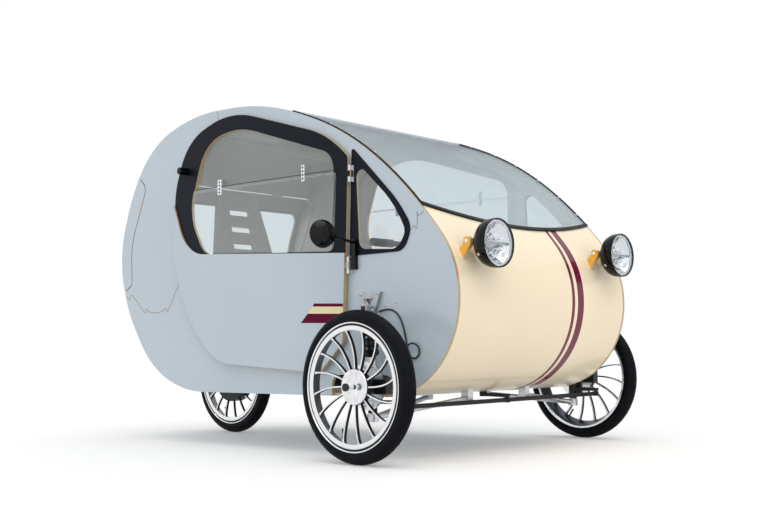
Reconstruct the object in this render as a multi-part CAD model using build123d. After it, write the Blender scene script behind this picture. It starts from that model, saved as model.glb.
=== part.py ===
from build123d import *
import os
from math import atan2, cos, hypot, pi, radians, sin, tan

os.makedirs("parts", exist_ok=True)

# A velomobile with two side-hinged doors, two steered front wheels and one driven rear wheel.
# Frame: +X towards the nose, +Y to the left, +Z up, origin on the ground below the middle.
# Millimetres. Outline tables hold corners as (x, z, radius of the rounding).

# ---------------------------------------------------------------- body
BODY_WIDTH = 1010.0          # over the side panels
PANEL_T = 12.0               # plywood side panels
SHELL_T = 10.0               # bent sheets between the side panels
SCREEN_T = 4.0               # clear windscreen
SEAM_GAP = 5.0               # round the hatch and the doors
HATCH_FOOT_GAP = 7.0         # below the hatch, where the seam meets the rear sheet at a slant
BODY_OUTLINE = [
    (996, 213, 336), (996, 666, 330), (802, 913, 1676), (485, 1169, 1382),
    (35, 1343, 1321), (-414, 1367, 985), (-755, 1275, 451), (-895, 1049, 671),
    (-992, 795, 417), (-906, 547, 522), (-738, 318, 470), (-498, 213, 631),
]
BODY_BOTTOM = 213.0
BODY_CORE = (0.0, 700.0)     # the seams across the body point at this place
SCREEN_TOP = (189.0, 1285.0)
SCREEN_FOOT = (838.0, 862.0)
HATCH_TOP = (-833.0, 1146.0)
HATCH_FOOT = (-938.0, 648.0)
FLOOR_REAR = (-430.0, 213.0)
FLOOR_FRONT = (663.0, 213.0)

# ---------------------------------------------------------------- doors, hatch and windows
DOOR_T = 18.0
DOOR_LAP = 18.0              # the door covers the edge of its opening by this much
FRAME_T = 11.0               # dark window frame let into the top of the door
DOOR_SWING = 50.0
HATCH_SWING = 70.0
PANE_T = 3.0
FRAME_RING_T = 3.0           # frame of the quarter window
DOOR_OUTLINE = [
    (510, 1063, 17), (416, 1156, 505), (-165, 1340, 492), (-453, 1253, 248), (-535, 1052, 301),
    (-542, 756, 414), (-427, 502, 489), (-250, 330, 264), (363, 295, 31), (482, 402, 15),
]
DOOR_SHOULDER = [            # everything above this line is the window frame
    (700, 1500, 0), (-700, 1500, 0), (-700, 1100, 0), (-545, 1012, 40), (-448, 779, 184), (700, 705, 0),
]
DOOR_GLASS = [
    (437, 1083, 80), (-113, 1268, 425), (-329, 1229, 186), (-438, 937, 198), (-330, 771, 77), (432, 728, 31),
]
FLAP_OUTLINE = [             # lower pane, hung from the upper one
    (453, 1014, 14), (-403, 1040, 14), (-425, 940, 190), (-338, 777, 80), (436, 728, 24),
]
QUARTER_FRAME = [
    (517, 1099, 8), (734, 886, 467), (803, 786, 66), (762, 707, 54), (501, 707, 6),
]
QUARTER_GLASS = [
    (534, 1049, 27), (726, 870, 458), (774, 773, 39), (734, 716, 52), (548, 729, 37),
]
HATCH_LINE = [               # everything behind this line is the hatch
    (-1300, 1560, 0), (-779, 1098, 35), (-893, 850, 300), (-886, 676, 18), (-1300, 448, 0),
]
REAR_WINDOW_TOP = 1066.0
REAR_WINDOW_FOOT = 745.0
REAR_WINDOW_SIDE = 468.0
REAR_WINDOW_R = 45.0

# ---------------------------------------------------------------- wheels
FRONT_AXLE_X = 688.0
REAR_AXLE_X = -795.0
TRACK = 1326.0
WHEEL_R = 254.0
TYRE_W = 54.0
TYRE_H = 48.0                # from the tyre's seat on the rim to its tread
RIM_R = WHEEL_R - TYRE_H
RIM_WALL = 20.0
RIM_W = 50.0
SPOKES = 16
SPOKE_T = 5.5
SPOKE_D = 20.0
HUB_R = 60.0
AXLE_R = 7.5
RUN_FIT = 0.05
DISC_R = 80.0
DISC_T = 2.5
MOTOR_R = 110.0
MOTOR_W = 52.0
WELL_HALF = 93.0             # half width of the rear wheel's slot
WELL_GAP = 37.0              # over the rear tyre
WELL_TOP = 2 * WHEEL_R + WELL_GAP
WELL_FRONT = -430.0

# ---------------------------------------------------------------- front suspension and steering
KING_INSET = 73.0            # from the middle of the wheel to its king pin
KING_Y = TRACK / 2 - KING_INSET
KING_R = 9.0
KING_FOOT = WHEEL_R - 110.0
KING_HEAD = WHEEL_R + 91.0
KING_EYE = 9.0               # the middle of the upper eye lies this far under the pin's head
SLEEVE_DROP = 12.0           # the knuckle's sleeve is centred this far under the axle
SLEEVE_H = 154.0
STEER_ARM = 110.0
TIE_Z = 186.0
TIE_R = 8.0
PIN_R = 5.0
AXLE_END = 40.0              # the axle stands out of the hub by this much
TOWER_X = 607.0
TOWER_TOP = 573.0
TOWER_FOOT = 500.0
TOWER_T = 12.0
SHOCK_R = 13.0
COIL_R = 22.0
COIL_WIRE = 3.5
COIL_TURNS = 6
ARM_R = 9.0
ARM_ROOT_Y = 170.0
ARM_ROOT_Z = 198.0
ARM_ROOTS_X = (560.0, 750.0)
STEER_SWING = 20.0

# ---------------------------------------------------------------- rear suspension
SWING_X = -455.0
SWING_Z = 300.0
SWING_Y = 52.0               # inner face of each arm
SWING_T = 18.0

# ---------------------------------------------------------------- lamps and mirrors
LAMP_X = 1040.0
LAMP_Y = 379.0
LAMP_Z = 719.0
LAMP_R = 75.0
LAMP_DEPTH = 66.0
LENS_DOME = 11.0
MIRROR_AT = (509.0, 645.0, 777.0)
MIRROR_R = 50.0
MIRROR_DEPTH = 26.0
MIRROR_TURN = 17.0

# ---------------------------------------------------------------- cabin
SEAT_BACK_X = -757.0         # slotted plate behind the rider, at SEAT_BACK_MID
SEAT_BACK_MID = 985.0
SEAT_BACK_TOP = 1110.0
SEAT_BACK_HALF = 142.0
SEAT_BACK_FLARE = 0.197      # half width gained for each millimetre downwards
SEAT_BACK_T = 15.0
SEAT_LEAN = 11.0
SLOTS = 5
SLOT_PITCH = 82.0
SLOT_W = 116.0
SLOT_H = 28.0
SEAT_X0 = -300.0
SEAT_X1 = 90.0
SEAT_HALF = 205.0
SEAT_Z = 345.0
SEAT_T = 15.0
SEAT_RISE = 370.0
SEAT_RECLINE = 25.0
CUSHION_T = 45.0
CRANK_X = 620.0
CRANK_Z = 430.0
CRANK_ARM = 160.0
CRANK_Y = 62.0
PEDAL_L = 95.0
COLUMN_R = 14.0
TILLER_Z = 640.0
GRIP_X = 330.0
GRIP_Z = 790.0
GRIP_HALF = 215.0
HOSE_R = 3.0

HALF = BODY_WIDTH / 2
INNER = HALF - PANEL_T
DOOR_IN = HALF + SEAM_GAP
DOOR_OUT = DOOR_IN + DOOR_T


# ---------------------------------------------------------------- helpers
def meet(p, u, q, v):
    """Where the line through p along u meets the line through q along v."""
    k = ((q[0] - p[0]) * v[1] - (q[1] - p[1]) * v[0]) / (u[0] * v[1] - u[1] * v[0])
    return (p[0] + k * u[0], p[1] + k * u[1])


def rounded(corners, inset=0.0):
    """Closed face in the XZ plane with rounded corners, moved inwards by inset."""
    n = len(corners)
    area = sum(corners[i - 1][0] * corners[i][1] - corners[i][0] * corners[i - 1][1] for i in range(n))
    side = 1 if area > 0 else -1
    lines = []
    for i in range(n):
        (x0, z0, _), (x1, z1, _) = corners[i - 1], corners[i]
        size = hypot(x1 - x0, z1 - z0)
        u = ((x1 - x0) / size, (z1 - z0) / size)
        lines.append(((x0 - side * inset * u[1], z0 + side * inset * u[0]), u))
    arcs = []
    for i in range(n):
        (p, u), (q, v) = lines[i], lines[(i + 1) % n]
        corner = meet(p, u, q, v)
        turn = atan2(u[0] * v[1] - u[1] * v[0], u[0] * v[0] + u[1] * v[1])
        bend = 1 if turn > 0 else -1
        radius = max(corners[i][2] - bend * side * inset, 0.0) if corners[i][2] else 0.0
        run = radius * tan(abs(turn) / 2)
        start = (corner[0] - run * u[0], corner[1] - run * u[1])
        end = (corner[0] + run * v[0], corner[1] + run * v[1])
        rise = radius * (1 / cos(turn / 2) - 1)
        w = (v[0] - u[0], v[1] - u[1])
        size = hypot(*w)
        mid = (corner[0] + rise * w[0] / size, corner[1] + rise * w[1] / size)
        arcs.append((start, mid, end, radius))
    edges = []
    for i in range(n):
        start, mid, end, radius = arcs[i]
        if radius > 0.01:
            edges.append(ThreePointArc(start, mid, end))
        after = arcs[(i + 1) % n][0]
        if hypot(after[0] - end[0], after[1] - end[1]) > 0.01:
            edges.append(Line(end, after))
    return Plane.XZ * Face(Wire(edges))


def slab(face, y0, y1):
    """Solid between y0 and y1 over a face in the XZ plane."""
    return Pos(0, y0, 0) * extrude(face, amount=y1 - y0, dir=(0, 1, 0))


def block(x0, x1, y0, y1, z0, z1):
    return Pos((x0 + x1) / 2, (y0 + y1) / 2, (z0 + z1) / 2) * Box(x1 - x0, y1 - y0, z1 - z0)


def rod(a, b, radius):
    a = Vector(*a)
    b = Vector(*b)
    plane = Plane(origin=a, z_dir=b - a)
    return plane * Cylinder(radius, (b - a).length, align=(Align.CENTER, Align.CENTER, Align.MIN))


def mirrored(shape):
    return mirror(shape, about=Plane.XZ)


def sector(start, end, back=0.0, ahead=0.0):
    """Wedge from the core of the body between two seams, narrowed by a gap at each."""
    reach = 3000.0
    a = atan2(start[1] - BODY_CORE[1], start[0] - BODY_CORE[0])
    b = atan2(end[1] - BODY_CORE[1], end[0] - BODY_CORE[0])
    a += back / hypot(start[0] - BODY_CORE[0], start[1] - BODY_CORE[1])
    b -= ahead / hypot(end[0] - BODY_CORE[0], end[1] - BODY_CORE[1])
    if b < a:
        b += 2 * pi
    rays = [a + (b - a) * k / 3 for k in range(4)]
    points = [BODY_CORE] + [(BODY_CORE[0] + reach * cos(r), BODY_CORE[1] + reach * sin(r)) for r in rays]
    return Plane.XZ * make_face(Polyline(*points, close=True))


def outline_point(seam):
    """Where a seam meets the body's outline, with the outward normal there."""
    face = rounded(BODY_OUTLINE)
    angle = atan2(seam[1] - BODY_CORE[1], seam[0] - BODY_CORE[0])
    hits = []
    for a in (angle - 0.005, angle, angle + 0.005):
        far = (BODY_CORE[0] + 3000 * cos(a), 0, BODY_CORE[1] + 3000 * sin(a))
        ray = Line((BODY_CORE[0], 0, BODY_CORE[1]), far)
        edges = (ray & face).edges()
        hits.append(edges[0] @ 1)
    along = (hits[2] - hits[0]).normalized()
    return hits[1], Vector(along.Z, 0, -along.X)


def band(start, end, thickness, half_width, back=0.0, ahead=0.0, lift=0.0):
    """Bent sheet that follows the body's outline from one seam to the next."""
    ring = rounded(BODY_OUTLINE, -lift) - rounded(BODY_OUTLINE, thickness - lift)
    return slab(ring & sector(start, end, back, ahead), -half_width, half_width)


parts = {}


# ---------------------------------------------------------------- side panels
def side_panel():
    face = rounded(BODY_OUTLINE)
    face -= rounded(DOOR_OUTLINE, DOOR_LAP)
    face -= rounded(QUARTER_GLASS, -4)
    face -= rounded(HATCH_LINE, -SEAM_GAP)
    face -= rounded([(402, 100, 0), (402, 288, 40), (706, 288, 40), (706, 100, 0)])
    return slab(face, -HALF, -INNER)


parts["side_panel_right"] = side_panel()
parts["side_panel_left"] = mirrored(parts["side_panel_right"])

# ---------------------------------------------------------------- bent sheets
well_slot = block(-1100, WELL_FRONT + 10, -WELL_HALF, WELL_HALF, 0, WELL_TOP)
parts["roof_shell"] = band(SCREEN_TOP, HATCH_TOP, SHELL_T, INNER, ahead=SEAM_GAP)
parts["rear_shell"] = band(HATCH_FOOT, FLOOR_REAR, SHELL_T, INNER, back=HATCH_FOOT_GAP) - well_slot
parts["floor_panel"] = band(FLOOR_REAR, FLOOR_FRONT, SHELL_T, INNER) - well_slot
parts["front_shell"] = band(FLOOR_FRONT, SCREEN_FOOT, SHELL_T, INNER)
parts["windscreen"] = band(SCREEN_FOOT, SCREEN_TOP, SCREEN_T, HALF, lift=SCREEN_T)
parts["windscreen_trim"] = slab(
    (rounded(BODY_OUTLINE, -SCREEN_T - 3) - rounded(BODY_OUTLINE))
    & sector((SCREEN_FOOT[0] + 12, SCREEN_FOOT[1] - 13), SCREEN_FOOT),
    -HALF, HALF,
)


# ---------------------------------------------------------------- rear hatch
window_mid = Pos(-900, 0, (REAR_WINDOW_TOP + REAR_WINDOW_FOOT) / 2)
window_size = (2 * REAR_WINDOW_SIDE, REAR_WINDOW_TOP - REAR_WINDOW_FOOT)
window_hole = window_mid * extrude(
    Plane.YZ * RectangleRounded(*window_size, REAR_WINDOW_R), amount=150, both=True
)
hatch_wing = slab(rounded(BODY_OUTLINE) & rounded(HATCH_LINE), -HALF, -INNER)
hatch_sheet = band(HATCH_TOP, HATCH_FOOT, SHELL_T, INNER) - window_hole
hatch_sheet &= slab(rounded(HATCH_LINE), -INNER, INNER)
parts["rear_hatch"] = hatch_sheet + hatch_wing + mirrored(hatch_wing)
pane_ring = rounded(BODY_OUTLINE, SHELL_T) - rounded(BODY_OUTLINE, SHELL_T + PANE_T)
window_lap = window_mid * Box(300, window_size[0] + 24, window_size[1] + 24)
parts["rear_window"] = slab(pane_ring, -INNER, INNER) & window_lap

# ---------------------------------------------------------------- doors
door_face = rounded(DOOR_OUTLINE)
shoulder = rounded(DOOR_SHOULDER)
frame_out = DOOR_IN + FRAME_T
above_flap = Plane.XZ * make_face(
    Polyline((-700, 1040), (700, 1003), (700, 1500), (-700, 1500), close=True)
)
door_skin = slab(door_face - shoulder, -DOOR_OUT, -DOOR_IN)
door_frame = slab((door_face & shoulder) - rounded(DOOR_GLASS), -frame_out, -DOOR_IN)
knob = Pos(-452, -frame_out - 26, 1127) * Sphere(15)
knob_stem = rod((-452, -frame_out, 1127), (-452, -frame_out - 20, 1127), 6)
upper_pane = slab(rounded(DOOR_GLASS, -8) & above_flap, -DOOR_IN, -DOOR_IN + PANE_T)
flap_pane = slab(rounded(FLAP_OUTLINE), -frame_out - PANE_T, -frame_out)

# the hinge line follows the door's front edge
HINGE_LOW = Vector(505, -DOOR_IN - DOOR_T / 2, 674)
HINGE_HIGH = Vector(517, -DOOR_IN - DOOR_T / 2, 1000)
HINGE_R = 6.0
HINGE_PIN_R = 3.0
HINGE_LEN = 60.0
HINGE_LEAF = 32.0
hinge_dir = (HINGE_HIGH - HINGE_LOW).normalized()
knuckles = []
door_hinges = []
for centre in (HINGE_LOW, HINGE_HIGH):
    foot = centre - hinge_dir * (HINGE_LEN / 2)
    head = centre + hinge_dir * (HINGE_LEN / 2)
    gap_low = centre - hinge_dir * (HINGE_LEN / 6)
    gap_high = centre + hinge_dir * (HINGE_LEN / 6)
    pin = rod(foot, head, HINGE_PIN_R)
    barrels = rod(foot, gap_low - hinge_dir, HINGE_R) + rod(gap_high + hinge_dir, head, HINGE_R)
    seat = -HALF if centre is HINGE_LOW else -HALF - FRAME_RING_T
    web = block(centre.X + 2, centre.X + 13, seat - 3, seat, foot.Z, head.Z)
    arms = [
        block(centre.X, centre.X + 6, centre.Y, seat, z0, z1)
        for z0, z1 in ((foot.Z + 1, gap_low.Z - 2), (gap_high.Z + 2, head.Z - 1))
    ]
    door_hinges.append(pin + barrels + web + arms)
    eye = rod(gap_low, gap_high, HINGE_R) - rod(foot, head, HINGE_PIN_R + RUN_FIT)
    leaf = block(centre.X - 26, centre.X - 3.5, centre.Y - 2, centre.Y + 2, gap_low.Z + 1, gap_high.Z - 1)
    knuckles.append(eye + leaf)
door_skin += knuckles[0]
door_frame += knuckles[1]
door_frame += knob + knob_stem

for side, place in (("right", lambda shape: shape), ("left", mirrored)):
    parts[f"door_skin_{side}"] = place(door_skin)
    parts[f"door_frame_{side}"] = place(door_frame)
    parts[f"door_panes_{side}"] = place(Compound([upper_pane, flap_pane]))
quarter_frame = slab(rounded(QUARTER_FRAME) - rounded(QUARTER_GLASS), -HALF - FRAME_RING_T, -HALF)
quarter_pane = slab(rounded(QUARTER_GLASS, -4), -HALF, -HALF + PANE_T)


def both_sides(*shapes):
    """One node with the given solids on the right and their mirror images on the left."""
    return Compound(list(shapes) + [mirrored(shape) for shape in shapes])


parts["quarter_frames"] = both_sides(quarter_frame)
parts["quarter_panes"] = both_sides(quarter_pane)
parts["door_hinges"] = both_sides(*door_hinges)


# ---------------------------------------------------------------- wheels
def ring(radius_in, radius_out, y0, y1):
    """Washer about the Y axis between y0 and y1."""
    solid = rod((0, y0, 0), (0, y1, 0), radius_out)
    return solid - rod((0, y0 - 1, 0), (0, y1 + 1, 0), radius_in) if radius_in else solid


def spoke(angle):
    """One curved spoke in the plane of the wheel, seen from outside."""
    root = HUB_R - 4
    tip = RIM_R - RIM_WALL + 3
    sweep = 9.0
    points = []
    for r, a in ((root, 0.0), ((root + tip) / 2, sweep * 0.28), (tip, sweep)):
        points.append((r * cos(radians(angle + a)), r * sin(radians(angle + a))))
    return trace(ThreePointArc(*points), line_width=SPOKE_T)


def wheel():
    """Cast wheel with its outer side towards -Y, centred on the origin."""
    rim_in = RIM_R - RIM_WALL
    bead = RIM_W / 2
    section = Polyline(
        (rim_in, -bead + 5), (rim_in + 4, -bead), (RIM_R + 7, -bead), (RIM_R + 7, -bead + 1.5),
        (RIM_R, -bead + 5), (RIM_R, bead - 5), (RIM_R + 7, bead - 1.5), (RIM_R + 7, bead),
        (rim_in + 4, bead), (rim_in, bead - 5), close=True,
    )
    rim = revolve(Plane.XY * make_face(section), Axis.Y)
    spokes = Sketch() + [spoke(360 / SPOKES * k) for k in range(SPOKES)]
    disc = spokes + Circle(HUB_R)
    body = extrude(Plane.XZ.offset(-2) * disc, amount=SPOKE_D / 2 + 2, both=True)
    return rim + body


def tyre():
    crown = TYRE_W / 2
    face = Pos(WHEEL_R - crown, 0) * Circle(crown)
    face -= Pos(RIM_R - 20 + 0.05, 0) * Rectangle(40, TYRE_W)
    return revolve(Plane.XY * face, Axis.Y)


blank_wheel = wheel()
hub_face = SPOKE_D / 2 + 6
hub_back = 48.0
front_wheel = blank_wheel + ring(0, HUB_R - 4, -hub_face, 0) + ring(0, 28, 0, hub_back)
front_wheel += ring(0, DISC_R, hub_back, hub_back + DISC_T)
front_wheel -= ring(0, AXLE_R + RUN_FIT, -100, 100)
rear_wheel = blank_wheel - ring(0, MOTOR_R + 0.05, -100, 100)
blank_tyre = tyre()
turned = Rot(0, 0, 180)
parts["wheel_front_right"] = Pos(FRONT_AXLE_X, -TRACK / 2, WHEEL_R) * front_wheel
parts["wheel_front_left"] = Pos(FRONT_AXLE_X, TRACK / 2, WHEEL_R) * turned * front_wheel
parts["wheel_rear"] = Pos(REAR_AXLE_X, 0, WHEEL_R) * rear_wheel
parts["tyre_front_right"] = Pos(FRONT_AXLE_X, -TRACK / 2, WHEEL_R) * blank_tyre
parts["tyre_front_left"] = Pos(FRONT_AXLE_X, TRACK / 2, WHEEL_R) * blank_tyre
parts["tyre_rear"] = Pos(REAR_AXLE_X, 0, WHEEL_R) * blank_tyre
motor = ring(AXLE_R + RUN_FIT, MOTOR_R, -MOTOR_W / 2, MOTOR_W / 2)
parts["hub_motor"] = Pos(REAR_AXLE_X, 0, WHEEL_R) * motor

# ---------------------------------------------------------------- front suspension, right side
king = (FRONT_AXLE_X, -KING_Y)


def king_at(z):
    return (king[0], king[1], z)


arm_block = Pos(*king_at(KING_FOOT + 5)) * Cylinder(20, 26)
lower_arm = arm_block + rod(king_at(KING_FOOT + 5), king_at(KING_HEAD), KING_R)
lower_arm += Pos(*king_at(KING_HEAD - KING_EYE)) * Cylinder(16, 28)
for x in ARM_ROOTS_X:
    lower_arm += rod(king_at(KING_FOOT + 5), (x, -ARM_ROOT_Y, ARM_ROOT_Z), ARM_R)
    lower_arm += block(x - 16, x + 16, -ARM_ROOT_Y - 14, -ARM_ROOT_Y + 14, ARM_ROOT_Z - ARM_R, 240)
lower_arm -= slab(rounded(BODY_OUTLINE), -HALF, HALF)

tower = slab(
    Plane.XZ * make_face(Polyline(
        (TOWER_X - 54, TOWER_TOP), (TOWER_X + 54, TOWER_TOP),
        (TOWER_X + 24, TOWER_FOOT), (TOWER_X - 24, TOWER_FOOT), close=True,
    )),
    -HALF - TOWER_T, -HALF,
)
tower -= slab(
    Plane.XZ * make_face(Polyline(
        (TOWER_X - 22, TOWER_TOP - 18), (TOWER_X + 22, TOWER_TOP - 18), (TOWER_X, TOWER_TOP - 46), close=True,
    )),
    -HALF - TOWER_T - 1, -HALF + 1,
)
eye_y = -HALF - TOWER_T - 20
eye_z = TOWER_FOOT + 14
for x0, x1 in ((TOWER_X - 17, TOWER_X - 10.5), (TOWER_X + 10.5, TOWER_X + 17)):
    tower += block(x0, x1, eye_y - 12, -HALF - TOWER_T, eye_z - 12, eye_z + 12)
shock_top = Vector(TOWER_X, eye_y, eye_z)
shock_foot = Vector(*king_at(350))
tower -= rod(shock_foot, shock_top, SHOCK_R * 0.55 + 2)
tower += rod((TOWER_X - 17, eye_y, eye_z), (TOWER_X + 17, eye_y, eye_z), PIN_R)

shock_dir = (shock_top - shock_foot).normalized()
shock_len = (shock_top - shock_foot).length
shock = rod(shock_foot, shock_top - shock_dir * 14, SHOCK_R * 0.55)
shock += rod(shock_foot + shock_dir * 2, shock_foot + shock_dir * 70, SHOCK_R)
shock += rod(shock_foot + shock_dir * 14, shock_foot + shock_dir * 20, COIL_R + 4)
shock += rod(shock_top - shock_dir * 34, shock_top - shock_dir * 26, COIL_R + 4)
shock += rod((TOWER_X - 10, eye_y, eye_z), (TOWER_X + 10, eye_y, eye_z), 12)
shock -= rod((TOWER_X - 20, eye_y, eye_z), (TOWER_X + 20, eye_y, eye_z), PIN_R + RUN_FIT)
shock -= lower_arm
coil_len = shock_len - 54
coil_plane = Plane(origin=shock_foot + shock_dir * 20, z_dir=shock_dir)
coil_path = Helix(pitch=coil_len / COIL_TURNS, height=coil_len, radius=COIL_R)
coil = sweep(Plane(origin=coil_path @ 0, z_dir=coil_path % 0) * Circle(COIL_WIRE), path=coil_path)
coil = coil_plane * coil

# ---------------------------------------------------------------- knuckles, right side
sleeve_at = king_at(WHEEL_R - SLEEVE_DROP)
sleeve = Pos(*sleeve_at) * Cylinder(16, SLEEVE_H)
axle_end = TRACK / 2 + hub_face + AXLE_END
spindle = rod((king[0], king[1], WHEEL_R), (king[0], -axle_end, WHEEL_R), AXLE_R)
spindle += rod((king[0], -axle_end, WHEEL_R), (king[0], -axle_end + 8, WHEEL_R), 13)
disc_y = -TRACK / 2 + hub_back + DISC_T / 2
caliper = block(king[0] + 40, king[0] + 98, disc_y - 14, disc_y + 18, WHEEL_R - 24, WHEEL_R + 24)
caliper -= Pos(king[0], disc_y, WHEEL_R) * ring(0, DISC_R + 4, -DISC_T / 2 - 2.5, DISC_T / 2 + 2.5)
caliper += block(king[0] + 8, king[0] + 42, disc_y + 8, disc_y + 18, WHEEL_R - 14, WHEEL_R + 14)
steer_arm = block(king[0], king[0] + STEER_ARM, -KING_Y - 9, -KING_Y + 9, TIE_Z + 11, TIE_Z + 23)
steer_arm += Pos(king[0] + STEER_ARM, -KING_Y, TIE_Z + 17) * Cylinder(12, 12)
steer_arm += Pos(king[0] + STEER_ARM, -KING_Y, TIE_Z + 7) * Cylinder(PIN_R, 32)
knuckle = sleeve + spindle + caliper + steer_arm
knuckle -= Pos(*sleeve_at) * Cylinder(KING_R + RUN_FIT, SLEEVE_H + 46)
parts["lower_arms"] = both_sides(lower_arm)
parts["shock_towers"] = both_sides(tower)
parts["shocks"] = both_sides(shock + coil)
parts["knuckle_right"] = knuckle
parts["knuckle_left"] = mirrored(knuckle)

tie_x = FRONT_AXLE_X + STEER_ARM
tie_rod = rod((tie_x, -KING_Y, TIE_Z), (tie_x, KING_Y, TIE_Z), TIE_R)
for y in (-KING_Y, 0, KING_Y):
    tie_rod += Pos(tie_x, y, TIE_Z) * Cylinder(12, 2 * TIE_R + 2)
for y in (-KING_Y, 0, KING_Y):
    tie_rod -= Pos(tie_x, y, TIE_Z) * Cylinder(PIN_R + RUN_FIT, 4 * TIE_R)
parts["tie_rod"] = tie_rod

# ---------------------------------------------------------------- tiller
column_x = FRONT_AXLE_X
tiller = rod((column_x, 0, TIE_Z + 11), (column_x, 0, TILLER_Z), COLUMN_R)
tiller += block(column_x, tie_x, -9, 9, TIE_Z + 11, TIE_Z + 23)
tiller += Pos(tie_x, 0, TIE_Z + 17) * Cylinder(12, 12)
tiller += Pos(tie_x, 0, TIE_Z + 7) * Cylinder(PIN_R, 32)
tiller += rod((column_x, 0, TILLER_Z - 8), (GRIP_X, 0, GRIP_Z), 11)
tiller += rod((GRIP_X, -GRIP_HALF, GRIP_Z), (GRIP_X, GRIP_HALF, GRIP_Z), 11)
for side in (-1, 1):
    tiller += rod((GRIP_X, side * (GRIP_HALF - 110), GRIP_Z), (GRIP_X, side * (GRIP_HALF + 2), GRIP_Z), 16)
parts["tiller"] = tiller
column_hole = Pos(column_x, 0, 220) * Cylinder(COLUMN_R + 5, 60)
parts["front_shell"] -= column_hole
bearing = Pos(column_x, 0, 240) * (Cylinder(COLUMN_R + 12, 60) - Cylinder(COLUMN_R + RUN_FIT, 80))
bearing &= slab(rounded(BODY_OUTLINE, SHELL_T), -50, 50)

# ---------------------------------------------------------------- pedals
post = block(CRANK_X - 24, CRANK_X + 24, -26, 26, BODY_BOTTOM + SHELL_T, CRANK_Z)
post += rod((CRANK_X, -32, CRANK_Z), (CRANK_X, 32, CRANK_Z), 40)
post -= rod((CRANK_X, -60, CRANK_Z), (CRANK_X, 60, CRANK_Z), 10.05)
parts["pedal_post"] = Compound([post, bearing])
crank = rod((CRANK_X, -CRANK_Y, CRANK_Z), (CRANK_X, CRANK_Y, CRANK_Z), 10)
for side in (-1, 1):
    low = side * CRANK_Y
    crank += block(
        CRANK_X - 12 + min(0, side * CRANK_ARM), CRANK_X + 12 + max(0, side * CRANK_ARM),
        low - 6, low + 6, CRANK_Z - 12, CRANK_Z + 12,
    )
    x = CRANK_X + side * CRANK_ARM
    crank += rod((x, low, CRANK_Z), (x, low + side * (PEDAL_L + 10), CRANK_Z), PIN_R)
    pedal = Pos(x, low + side * (PEDAL_L / 2 + 8), CRANK_Z) * Box(84, PEDAL_L - 4, 20)
    pedal -= rod((x, low, CRANK_Z), (x, low + side * 200, CRANK_Z), PIN_R + RUN_FIT)
    parts["pedal_right" if side < 0 else "pedal_left"] = pedal
parts["crankset"] = crank

# ---------------------------------------------------------------- rear wheel's well, swing arm and axle
inside = rounded(BODY_OUTLINE, SHELL_T)
well_out = Plane.XZ * Pos((WELL_FRONT + 10 - 1100) / 2, (WELL_TOP + 10) / 2) * Rectangle(
    WELL_FRONT + 10 + 1100, WELL_TOP + 10
)
well_in = Plane.XZ * Pos((WELL_FRONT - 1100) / 2, WELL_TOP / 2) * Rectangle(WELL_FRONT + 1100, WELL_TOP)
wheel_well = slab(inside & well_out, -WELL_HALF - 10, WELL_HALF + 10) - slab(well_in, -WELL_HALF, WELL_HALF)
parts["wheel_well"] = wheel_well
swing = rod((SWING_X, -WELL_HALF, SWING_Z), (SWING_X, WELL_HALF, SWING_Z), 14)
arm_y = SWING_Y + SWING_T / 2
for side in (-1, 1):
    a = Vector(SWING_X, side * arm_y, SWING_Z)
    b = Vector(REAR_AXLE_X, side * arm_y, WHEEL_R)
    swing += rod(a, b, SWING_T / 2)
    swing += rod((b.X, b.Y - SWING_T / 2, b.Z), (b.X, b.Y + SWING_T / 2, b.Z), 20)
    swing += rod((b.X, side * (SWING_Y + SWING_T), b.Z), (b.X, side * (SWING_Y + SWING_T + 8), b.Z), 12)
swing += rod((REAR_AXLE_X, -SWING_Y - SWING_T, WHEEL_R), (REAR_AXLE_X, SWING_Y + SWING_T, WHEEL_R), AXLE_R)
parts["swing_arm"] = swing

# ---------------------------------------------------------------- seat and battery
lean = Plane(origin=(SEAT_BACK_X, 0, SEAT_BACK_MID), x_dir=(0, 1, 0), z_dir=(cos(radians(SEAT_LEAN)), 0, sin(radians(SEAT_LEAN))))
back_top = SEAT_BACK_TOP - SEAT_BACK_MID
back_low = WELL_TOP - 60 - SEAT_BACK_MID
plate = Polyline(
    (-SEAT_BACK_HALF + SEAT_BACK_FLARE * back_top, back_top),
    (SEAT_BACK_HALF - SEAT_BACK_FLARE * back_top, back_top),
    (SEAT_BACK_HALF - SEAT_BACK_FLARE * back_low, back_low),
    (-SEAT_BACK_HALF + SEAT_BACK_FLARE * back_low, back_low), close=True,
)
plate = make_face(plate) - [
    Pos(0, 40 - SLOT_PITCH * k) * RectangleRounded(SLOT_W, SLOT_H, 8) for k in range(SLOTS)
]
seat_back = extrude(lean * plate, amount=SEAT_BACK_T / 2, both=True)
seat_back -= block(-1100, 0, -400, 400, 0, WELL_TOP + 10)
parts["seat_back"] = seat_back
pan = block(SEAT_X0, SEAT_X1, -SEAT_HALF, SEAT_HALF, SEAT_Z - SEAT_T, SEAT_Z)
recline = Plane(
    origin=(SEAT_X0, 0, SEAT_Z - SEAT_T), x_dir=(0, 1, 0),
    z_dir=(cos(radians(SEAT_RECLINE)), 0, sin(radians(SEAT_RECLINE))),
)
pan += recline * Pos(0, SEAT_RISE / 2, 0) * Box(2 * SEAT_HALF, SEAT_RISE, SEAT_T)
for side in (-1, 1):
    y = side * (SEAT_HALF - 10)
    pan += block(SEAT_X0 + 10, SEAT_X1 - 10, y - 8, y + 8, BODY_BOTTOM + SHELL_T, SEAT_Z - SEAT_T)
parts["seat_frame"] = pan
cushion = block(SEAT_X0 + 60, SEAT_X1, -SEAT_HALF + 10, SEAT_HALF - 10, SEAT_Z + 0.3, SEAT_Z + CUSHION_T)
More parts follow.
